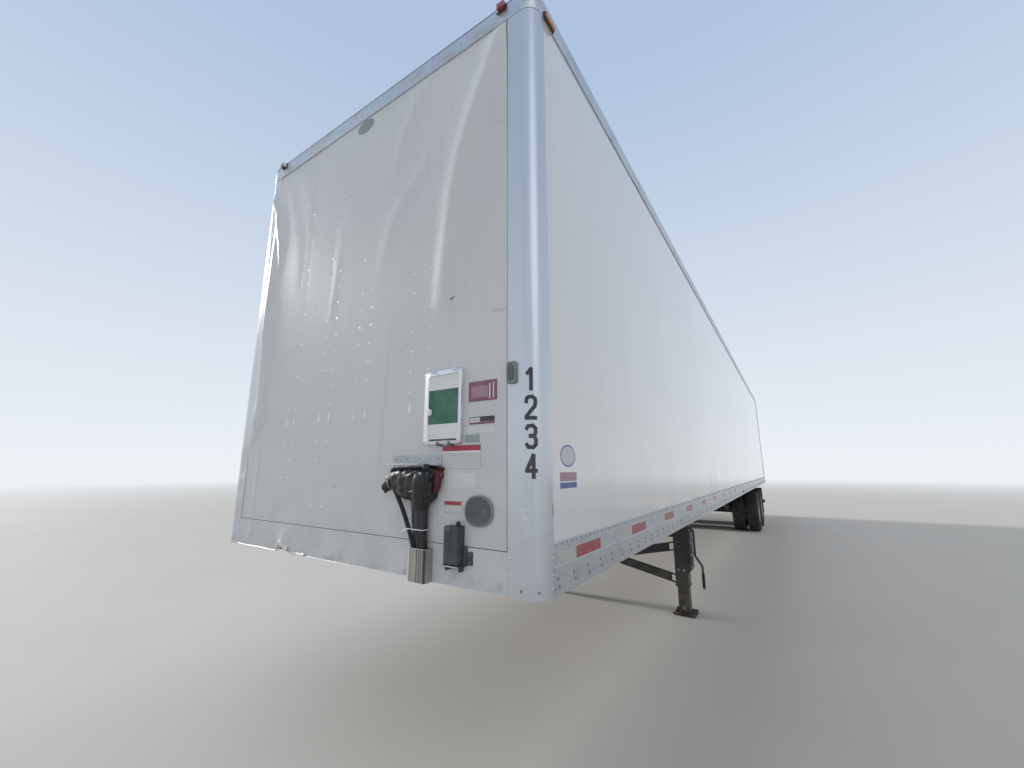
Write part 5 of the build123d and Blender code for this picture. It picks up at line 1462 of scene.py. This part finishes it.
# Rear end
def rear_lamps():
    """Rubber grommets and ribbed covers of the tail lamps, bases of the small lamps."""
    shape = Shape()
    lens_z = (sill + deck_high.z) / 2
    grommet = [(0, 0.066), (0.006, 0.066), (0.012, 0.061), (0.015, 0.055), (0.015, 0.0515)]
    dome = [(0, 0.0512), (0.004, 0.048), (0.0065, 0.034), (0.0075, 0.015), (0.0078, 0)]
    for y in sorted(side * y for side in (1, -1) for y in TAIL_LAMP_YS):
        shape.turned([(rear_x, y, lens_z)], (-1, 0, 0), grommet, "rubber", 40)
        shape.turned([(rear_x - 0.016, y, lens_z)], (-1, 0, 0), dome, "red_lens", 40)

    def mount(axis, at, z, face, out, half_l=0.056, half_h=0.022):
        plate = rounded(about(at, half_l), about(z, half_h), 0.008)
        shape.prism(plate, axis, *sorted((face, face + out * 0.006)), "rubber")

    for y in (-1.1955, -0.15, 0.0, 0.15, 1.1955):
        mount("X", y, body_top - 0.056, rear_x, -1)
    for side in (1, -1):
        for x in (frame_high.x + 0.10, (front_x + rear_x) / 2):
            mount("Y", x, sill + 0.055, side * half_w, side)
        mount("Y", front_x - 0.155, body_top - 0.090, side * half_w, side)
        mount("X", side * (half_w - 0.203), body_top - 0.0195, front_x, 1, 0.033, 0.0195)
        end = pair(side, half_w - 0.2315, half_w - 0.221)
        shape.box((front_x + 0.005, front_x + 0.0246), end, (body_top - 0.0345, body_top), "white_print")
    shape.build("lamp_mounts", "chassis", "black_rubber", bevel=0.0008)


def rear_frame_trim():
    """Rivets of the rear frame, guides for the lock rods, and the guard's bolts and end caps."""
    shape = Shape()
    guide_x = rear_x - 0.0035
    for side in (1, -1):
        uprights = spread(sill + 0.10, body_top - 0.20, 0.30)
        shape.rivets([(frame_high.x - 0.02, side * half_w, z) for z in uprights], (0, side, 0), 0.006)
        for y in ROD_YS:
            for low, high in (up((0.032, 0.092)), (body_top - 0.100, body_top - 0.046)):
                shape.box((guide_x, rear_x), pair(side, y - 0.075, y - 0.032), (low, high), "zinc")
                shape.bolts([(guide_x, side * (y - 0.0535), (low + high) / 2)], (-1, 0, 0), 0.006)
    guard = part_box("underride_guard")[0]
    end = rounded((guard.x + 0.004, guard.x + 0.096), (guard.z + 0.004, guard.z + 0.096), 0.012)
    for side in (1, -1):
        spots = [(guard.x, side * y, sill - h) for y in about(0.455, 0.028) for h in (0.05, 0.13)]
        shape.bolts(spots, (-1, 0, 0), 0.010)
        shape.prism(end, "Y", *pair(side, 1.220, 1.224), "rubber")
    shape.build("rear_trim", "chassis", "galvanised", bevel=0.0008)


def door_trim(name, body, side):
    """Gasket round the leaf, hinge and guide bolts, edge rivets and the handles' hasps."""
    low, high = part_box("door_" + name)
    face, y, z = low.x, (low.y, high.y), (low.z, high.z)
    out, lip, edge = (-1, 0, 0), 0.0032, 0.028
    shape = Shape()
    for across, upright in (
        ((y[0] - lip, y[0]), z), ((y[1], y[1] + lip), z), (y, (z[0] - lip, z[0])), (y, (z[1], z[1] + lip)),
    ):
        shape.box((face - 0.001, face + 0.022), across, upright, "rubber")
    around = [(face, a, b) for a in inset(y, edge) for b in spread(*inset(z, 0.06), 0.15)]
    around += [(face, a, b) for a in spread(*inset(y, 0.1), 0.15) for b in inset(z, edge)]
    shape.rivets(around, out, 0.0055)
    for hinge_z in np.linspace(*inset(z, 0.19), 4):
        bolt_ys = [side * (HINGE_Y - d) for d in (0.075, 0.145, 0.215)]
        shape.bolts([(face - 0.012, a, b) for a in bolt_ys for b in about(hinge_z, 0.014)], out, 0.0075)
    handle_z = z[0] + 0.56
    sleeve = [(-0.045, 0.0145), (-0.045, 0.020), (0.045, 0.020), (0.045, 0.0145)]
    for rod_y in ROD_YS:
        for guide_z in np.linspace(*inset(z, 0.136), 4):
            for bolt_y in about(rod_y, 0.024):
                shape.bolts([(face - 0.0245, side * bolt_y, guide_z)], out, 0.006)
        tip = rod_y - 0.300
        # Parts of the hasp: X from the leaf's face, half width and Z from the handle
        for depth, half, upright in (
            ((0.030, 0), 0.02, (-0.052, -0.020)), ((0.052, 0.030), 0.006, (-0.052, -0.019)),
            ((0.003, 0), 0.045, (-0.075, 0.050)),
        ):
            span_z = [handle_z + dz for dz in upright]
            shape.box([face - d for d in depth], pair(side, *about(tip, half)), span_z, "zinc")
        shape.bolts([(face - 0.003, side * a, handle_z - 0.063) for a in about(tip, 0.034)], out, 0.005)
        shape.turned([(face - 0.0255, side * rod_y, handle_z)], (0, 0, 1), sleeve, "zinc", 24)
    band_z = (z[0] + 1.02, z[0] + 1.02 + TAPE_H)
    for first, last, look in bands(*inset(y, 0.06)):
        shape.box((face - TAPE_T, face), (first, last), band_z, look)
    shape.build("door_trim_" + name, body, "galvanised", bevel=0.0006)


# Bogie and underside
CAN_Y, CAN_BACK, CAN_RISE = 0.330, 0.190, 0.039
BAG_Y, BAG_BACK = 0.520, 0.365
CAM_BACK, CAM_Z = 0.12, 0.560
# An axle's strap: share of its half width along X, and height
STRAP = ((1, 0.690), (1, 0.60), (0.98, 0.52), (0.55, 0.448), (0, 0.430))
STRAP_HALF = 0.075
# Folds of an air spring: height and radius
BAG_FOLDS = ((0.705, 0.104), (0.740, 0.122), (0.775, 0.127), (0.825, 0.127), (0.865, 0.122))


def slider_pins(shape, side):
    """Holes along a slider rail, its two pins with their plates, and the pull rod; the holes are shallow
    dimples of dark rusty iron whose dark is partly painted shade.
    """
    slider_low, slider_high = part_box("slider_rails")
    bogie_low, bogie_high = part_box("bogie_frame")
    pin_xs = (bogie_high.x - 0.22, bogie_low.x + 0.30)
    web_z, web_y = middle_xz("slider_rails")[1], side * (SLIDER_Y + 0.0045)
    # The holes are only 2 mm deep; their dark rusty iron also stands in for the shade inside real holes.
    hole = [(0, 0.015), (0.0008, 0.015), (0.0008, 0.012), (-0.002, 0.012), (-0.002, 0)]
    pin = [(0, 0.026), (0.022, 0.026), (0.024, 0.018), (0.060, 0.018), (0.062, 0.015), (0.062, 0)]
    spots = [(x, web_y, web_z) for x in spread(slider_high.x - 0.1, slider_low.x + 0.15, 0.1016)]
    shape.turned(spots, (0, side, 0), hole, "drum", 14)
    for x in pin_xs:
        shape.turned([(x, web_y, web_z)], (0, side, 0), pin, "steel", 20)
        plate_z = (slider_low.z - 0.11, slider_low.z + 0.012)
        shape.box(about(x, 0.035), pair(side, SLIDER_Y + 0.040, SLIDER_Y + 0.047), plate_z, "black")
    shape.tube([(x, side * (SLIDER_Y + 0.070), web_z) for x in pin_xs[::-1]], 0.008, "steel", 10)


def axle_trim(shape, axle_x, side):
    """Pivot bolts, straps, brake chamber, air spring, cam and shield bolts on one side of an axle."""
    for way in (1, -1):
        pivot = (axle_x + 0.510, side * (SLIDER_Y + way * 0.053), 0.635)
        shape.bolts([pivot], (0, side * way, 0), 0.022, "steel")
    strap_ys = about(SLIDER_Y, 0.040)
    for dx in (-STRAP_HALF, STRAP_HALF):
        for y in strap_ys:
            strap = [(axle_x + dx * share, side * y, z) for share, z in STRAP]
            shape.tube(smooth_path(strap, 5), 0.009, "steel", 8)
        shape.bolts([(axle_x + dx, side * y, 0.684) for y in strap_ys], (0, 0, 1), 0.013, "steel")
    can_x, can_y, can_z = axle_x - CAN_BACK, side * CAN_Y, axle_z + CAN_RISE
    clamp = [(-0.012, 0.079), (-0.012, 0.088), (0.012, 0.088), (0.012, 0.079)]
    shape.turned([(can_x, can_y, can_z)], (0, side, 0), clamp, "zinc", 32)
    shape.bolts([(can_x, can_y, can_z + s * 0.092) for s in (1, -1)], (0, side, 0), 0.009)
    dome = [(0, 0.077), (0.010, 0.074), (0.018, 0.060), (0.022, 0.035), (0.023, 0)]
    for end in (-1, 1):
        shape.turned([(can_x, can_y + end * 0.085, can_z)], (0, end, 0), dome, "black", 32)
    bag_x, bag_y = axle_x - BAG_BACK, side * BAG_Y
    for z, r in BAG_FOLDS:
        fold = [(-0.012, r - 0.006), (-0.005, r), (0.005, r), (0.012, r - 0.006)]
        shape.turned([(bag_x, bag_y, z)], (0, 0, 1), fold, "rubber", 40)
    shape.turned([(bag_x, bag_y, 0.905)], (0, 0, 1), [(0, 0.108), (0.016, 0.108), (0.016, 0.0)], "zinc", 36)
    shape.tube([(axle_x - CAM_BACK, side * y, CAM_Z) for y in (0.43, 0.752)], 0.019, "steel", 14)
    shape.box((axle_x - 0.20, axle_x - 0.10), pair(side, 0.438, 0.456), (0.538, 0.585), "zinc")
    ring = [(axle_x + 0.13 * cos(a), side * 0.7475, axle_z + 0.13 * sin(a)) for a in turns(6, 0.4)]
    shape.bolts(ring, (0, -side, 0), 0.008)


def bogie_trim():
    """Slide pins and holes, hanger and saddle bolts, clamp rings, tank ends and bellows rings."""
    shape = Shape()
    for side in (1, -1):
        slider_pins(shape, side)
        for axle_x in axle_xs:
            axle_trim(shape, axle_x, side)
    tank_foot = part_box("air_tank")[0].z
    tank_x, tank_z = middle_xz("air_tank")[0], tank_foot + 0.120
    dome = [(0, 0.119), (0.012, 0.113), (0.024, 0.090), (0.031, 0.050), (0.033, 0)]
    band = [(-0.020, 0.1205), (-0.020, 0.1235), (0.020, 0.1235), (0.020, 0.1205)]
    drain = [(0, 0.016), (0.014, 0.016), (0.016, 0.009), (0.034, 0.008), (0.034, 0)]
    for end in (-1, 1):
        shape.turned([(tank_x, end * 0.390, tank_z)], (0, end, 0), dome, "black", 40)
        shape.turned([(tank_x, end * 0.260, tank_z)], (0, 1, 0), band, "zinc", 44)
    shape.turned([(tank_x, 0.0, tank_foot + 0.002)], (0, 0, -1), drain, "steel", 16)
    flap_low, flap_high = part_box("mudflaps")
    clamp_x = flap_low.x - 0.004
    for side in (1, -1):
        across = pair(side, flap_high.y - 0.60, flap_high.y - 0.01)
        shape.box((clamp_x, flap_low.x), across, (flap_high.z - 0.045, flap_high.z - 0.010), "zinc")
        bolt_ys = [side * (flap_high.y - d) for d in (0.06, 0.18, 0.305, 0.43, 0.55)]
        shape.bolts([(clamp_x, y, flap_high.z - 0.028) for y in bolt_ys], (-1, 0, 0), 0.008)
    shape.build("bogie_trim", "chassis", "black_steel", bevel=0.0006)


def underside_trim():
    """Beam clips on the rails, the coupler's plugs and a ring round the kingpin."""
    shape = Shape()
    beam_low, beam_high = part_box("crossmembers")
    coupler_low, coupler_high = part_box("upper_coupler")
    plate_z, down = coupler_low.z, (0, 0, -1)
    plug_xs = spread(coupler_low.x + 0.06, coupler_high.x - 0.06, 0.28)
    spots = [(x, y, plate_z) for x in plug_xs for y in spread(-1.10, 1.10, 0.22)]
    spots = [p for p in spots if hypot(p[0] - KINGPIN_X, p[1]) > 0.16]
    shape.turned(spots, down, [(0, 0.016), (0.0015, 0.015), (0.0015, 0)], "black", 14)
    ring = [(0, 0.150), (0.003, 0.150), (0.003, 0.118), (0, 0.118)]
    shape.turned([(KINGPIN_X, 0, plate_z)], down, ring, "steel", 40)
    for x in spread(*beam_xs, BEAM_PITCH):
        for side in (1, -1):
            y = pair(side, beam_high.y - 0.001, beam_high.y - 0.007)
            shape.box((x + 0.003, x + 0.040), y, inset((beam_low.z, beam_high.z), 0.012), "black")
    shape.build("underside_trim", "chassis", "black_steel")


# Roof and inside
def roof_trim():
    """Rivets round the roof sheet and the folded seams of its end sheets."""
    shape = Shape()
    sheet_low, sheet_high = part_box("roof_sheet")
    y, z = sheet_high.y - 0.030, sheet_high.z
    xs = spread(sheet_low.x + 0.04, sheet_high.x - 0.10, 0.10)
    shape.rivets([(x, side * y, z) for side in (1, -1) for x in xs], (0, 0, 1), 0.005, sides=6)
    ys = spread(-y + 0.08, y - 0.08, 0.10)
    ends = (sheet_low.x + 0.03, sheet_high.x - 0.035)
    shape.rivets([(x, a, z) for x in ends for a in ys], (0, 0, 1), 0.005, sides=6)
    for x in spread(sheet_low.x + 0.31, sheet_high.x - 0.31, 1.22)[1:-1]:
        shape.box(about(x, 0.006), (-y, y), (z, z + 0.0012), "roof")
    shape.build("roof_trim", "chassis", "bare_aluminium")


def inside_trim():
    """Ribbed scuff bands and riveted seam strips inside, and the floor's screws."""
    shape = Shape()
    inner, floor_z = side_low.y, deck_high.z
    outline = [(inner, floor_z + 0.001)]
    rib = ((0.0015, -0.008), (0.007, 0), (0.007, 0.012), (0.0015, 0.020))
    for i in range(7):
        z = floor_z + 0.02 + 0.04 * i
        outline += [(inner - d, z + dz) for d, dz in rib]
    outline.append((inner, floor_z + 0.31))
    x_span = (frame_high.x + 0.01, wall_low.x - 0.06)
    for side in (1, -1):
        section = [(side * a, b) for a, b in outline]
        shape.prism(section[::-side], "X", *x_span, "zinc")
        for x in spread(*inset(x_span, 0.6), 1.22):
            across = pair(side, inner, inner - 0.0016)
            shape.box(about(x, 0.018), across, (floor_z + 0.31, wall_high.z - 0.04), "zinc")
            z_row = spread(floor_z + 0.4, wall_high.z - 0.1, 0.305)
            shape.rivets([(x, side * (inner - 0.0016), z) for z in z_row], (0, -side, 0), 0.005)
    screws = [(x - 0.02, y, floor_z) for x in spread(*beam_xs, BEAM_PITCH) for y in spread(-1.2, 1.2, 0.15)]
    shape.turned(screws, (0, 0, 1), [(0, 0.0055), (0.0003, 0.0052), (0.0003, 0)], "steel", 6)
    shape.build("inside_trim", "chassis", "galvanised")


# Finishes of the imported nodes
NODE_LOOKS = {
    "rail": ["bottom_rails", "top_rails", "top_rail_front"],
    "roof": ["roof_sheet"],
    "zinc": ["roof_bows", "rear_frame", "hinge_butts", "door_hardware_left", "door_hardware_right"],
    "beam": ["crossmembers"],
    "black": [
        "underride_guard", "upper_coupler", "landing_legs", "landing_feet", "leg_brace", "landing_drive",
        "landing_crank", "slider_rails", "bogie_frame", "trailing_arms", "axles", "brake_chambers",
        "air_tank",
    ],
    "steel": ["kingpin"],
    "oak": ["floor_deck"],
    "rubber": ["air_springs", "mudflaps"],
    "red_lens": ["red_lamps"],
    "amber_lens": ["amber_lamps"],
}
BEVELS = {
    "nose_brackets": 0.0008, "side_wall_left": 0.001, "side_wall_right": 0.001, "hinge_butts": 0.001,
    "floor_deck": 0.001, "roof_sheet": 0.001, "bottom_rails": 0.0012, "door_hardware_left": 0.0012,
    "door_hardware_right": 0.0012, "top_rails": 0.002, "top_rail_front": 0.002, "rear_frame": 0.002,
    "leg_brace": 0.002, "door_left": 0.002, "door_right": 0.002, "mudflaps": 0.002, "slider_rails": 0.002,
    "brake_chambers": 0.002, "upper_coupler": 0.002, "landing_feet": 0.003, "landing_drive": 0.003,
    "bogie_frame": 0.003, "red_lamps": 0.003, "amber_lamps": 0.003, "air_tank": 0.003,
    "underride_guard": 0.004, "landing_legs": 0.004, "trailing_arms": 0.004,
}


def finish_node(name, looks, pick=None):
    """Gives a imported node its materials; pick(face) is the number of the face's own one."""
    mesh = nodes[name].data
    mesh.materials.clear()
    for look in looks:
        mesh.materials.append(LOOKS[look])
    index = [pick(face) if pick else 0 for face in mesh.polygons]
    mesh.polygons.foreach_set("material_index", index)
    mesh.update()
    if name in BEVELS:
        weld = nodes[name].modifiers.new("weld", "WELD")
        weld.merge_threshold = 0.00002
        soften(nodes[name], BEVELS[name])


def finish_nodes():
    for look, names in NODE_LOOKS.items():
        for name in names:
            finish_node(name, [look])
    finish_node("nose_brackets", ["shield", "duct"], lambda face: int(face.center.z < sill + 0.3))

    def door_face(face):
        if abs(face.normal.x) <= 0.5:
            return 2
        return int(face.normal.x > 0)

    for name, side in SIDES.items():
        finish_node("side_wall_" + name, ["side", "liner"], lambda face: int(face.normal.y * side < -0.5))
        finish_node("door_" + name, ["side", "liner", "rail"], door_face)
        for place in ("front", "rear"):
            wheel = "wheel_" + place + "_" + name
            cx, cz = middle_xz(wheel)

            def wheel_face(face):
                r = hypot(face.center.x - cx, face.center.z - cz)
                if r < 0.090:
                    return 2
                return int(face.center.y * side < WHEEL_Y - 0.012 and r < 0.215)

            finish_node(wheel, ["wheel", "drum", "black"], wheel_face)


# Floor, lights and camera
def stage_floor():
    """Pale round floor that turns into the backdrop far out."""
    f = Finish("floor", (0.64, 0.63, 0.61), 0.75, Specular_IOR_Level=0.15)
    f.stain((0.58, 0.565, 0.54), 0.25, 0.6, 5.0, 0.35, 0.7)
    f.bump(f.noise(25.0, 4.0), 0.002, 0.2)
    f.done()
    reach = f.node("ShaderNodeVectorMath", {0: f.place}, operation="LENGTH").outputs["Value"]
    glow = f.node("ShaderNodeEmission", {"Color": (*BACKDROP_LOW, 1), "Strength": 1.0}).outputs[0]
    far = f.node("ShaderNodeMixShader", {0: f.step(reach, 14.0, 70.0), 1: f.shader.outputs[0], 2: glow})
    f.tree.links.new(far.outputs[0], f.tree.nodes["Material Output"].inputs["Surface"])
    mesh = bpy.data.meshes.new("floor")
    radius, sides = 400.0, 96
    ring = [(radius * cos(a), radius * sin(a), 0.0) for a in turns(sides)]
    mesh.from_pydata(ring, [], [tuple(range(sides))])
    mesh.materials.append(f.material)
    place_object("floor", mesh)


def world_light():
    """Even pale light; camera and mirror rays see the backdrop, paler near the horizon."""
    world = bpy.data.worlds.new("studio")
    bpy.context.scene.world = world
    world.use_nodes = True
    tree = world.node_tree
    tree.nodes.clear()

    def node(kind, links=(), **settings):
        return add_node(tree, kind, links, **settings)

    way = node("ShaderNodeTexCoord").outputs["Generated"]
    rise = node("ShaderNodeSeparateXYZ", {0: way}).outputs["Z"]
    height = node("ShaderNodeMapRange", {"Value": rise, "From Min": 0.0, "From Max": 0.75}).outputs[0]
    links = {0: height, 6: (*BACKDROP_LOW, 1), 7: (*BACKDROP_HIGH, 1)}
    sky = node("ShaderNodeMix", links, data_type="RGBA").outputs[2]
    seen = node("ShaderNodeBackground", {"Color": sky, "Strength": 1.0}).outputs[0]
    light = node("ShaderNodeBackground", {"Color": (0.93, 0.96, 1.0, 1), "Strength": 0.56}).outputs[0]
    rays = node("ShaderNodeLightPath").outputs
    links = {0: rays["Is Camera Ray"], 1: rays["Is Glossy Ray"]}
    either = node("ShaderNodeMath", links, operation="MAXIMUM").outputs[0]
    links = {0: either, 1: rays["Is Transmission Ray"]}
    shown = node("ShaderNodeMath", links, operation="MAXIMUM").outputs[0]
    mixed = node("ShaderNodeMixShader", {0: shown, 1: light, 2: seen}).outputs[0]
    node("ShaderNodeOutputWorld", {"Surface": mixed})


def sun(name, toward, strength, spread_deg, colour):
    """A soft sun; toward is the direction from the trailer to the light."""
    data = bpy.data.lights.new(name, "SUN")
    data.energy = strength
    data.angle = radians(spread_deg)
    data.color = colour
    place_object(name, data).rotation_euler = Vector(toward).to_track_quat("Z", "Y").to_euler()


def photo_camera():
    """The photograph's own viewpoint, direction and field of view."""
    data = bpy.data.cameras.new("photo_camera")
    data.sensor_width = sensor_mm
    data.lens = camera_focus_px / picture_w_px * sensor_mm
    data.clip_end = 1000.0
    camera = place_object("photo_camera", data)
    flat = Vector((cos(camera_yaw), sin(camera_yaw), 0))
    ahead = flat * cos(camera_pitch) + Vector((0, 0, sin(camera_pitch)))
    right = Vector((sin(camera_yaw), -cos(camera_yaw), 0))
    above = right.cross(ahead)
    right_rolled = right * cos(camera_roll) + above * sin(camera_roll)
    above_rolled = above * cos(camera_roll) - right * sin(camera_roll)
    turn = Matrix((right_rolled, above_rolled, -ahead)).transposed()
    place = Vector((front_x + camera_at[0], camera_at[1], sill + camera_at[2]))
    camera.matrix_world = Matrix.Translation(place) @ turn.to_4x4()
    bpy.context.scene.camera = camera


photo_camera()
stage_floor()
world_light()
sun("key", (0.04, -0.90, 0.42), 1.85, 9.0, (1.0, 0.97, 0.92))
sun("fill", (0.55, 0.70, 0.55), 0.25, 40.0, (0.95, 0.97, 1.0))
bpy.context.scene.view_settings.view_transform = "Standard"

# Without a seed Blender's noise starts from the clock, and the wrap would be creased anew in every run
noise.seed_set(1)
front_skin()
nose_plate()
front_rivets()
corner_posts()
seams()
rail_rivets()
tape_strips()
document_holder()
stickers()
post_digits()
connectors()
nose_hoses()
nose_fittings()
landing_trim()
for place in ("front", "rear"):
    for name, side in SIDES.items():
        body = "wheels_" + place + "_" + name
        tyres("tyres_" + place + "_" + name, body)
        wheel_trim("wheel_" + place + "_" + name, body, side)
rear_lamps()
rear_frame_trim()
for name, side in SIDES.items():
    door_trim(name, "rear_door_" + name, side)
bogie_trim()
underside_trim()
roof_trim()
inside_trim()
finish_nodes()
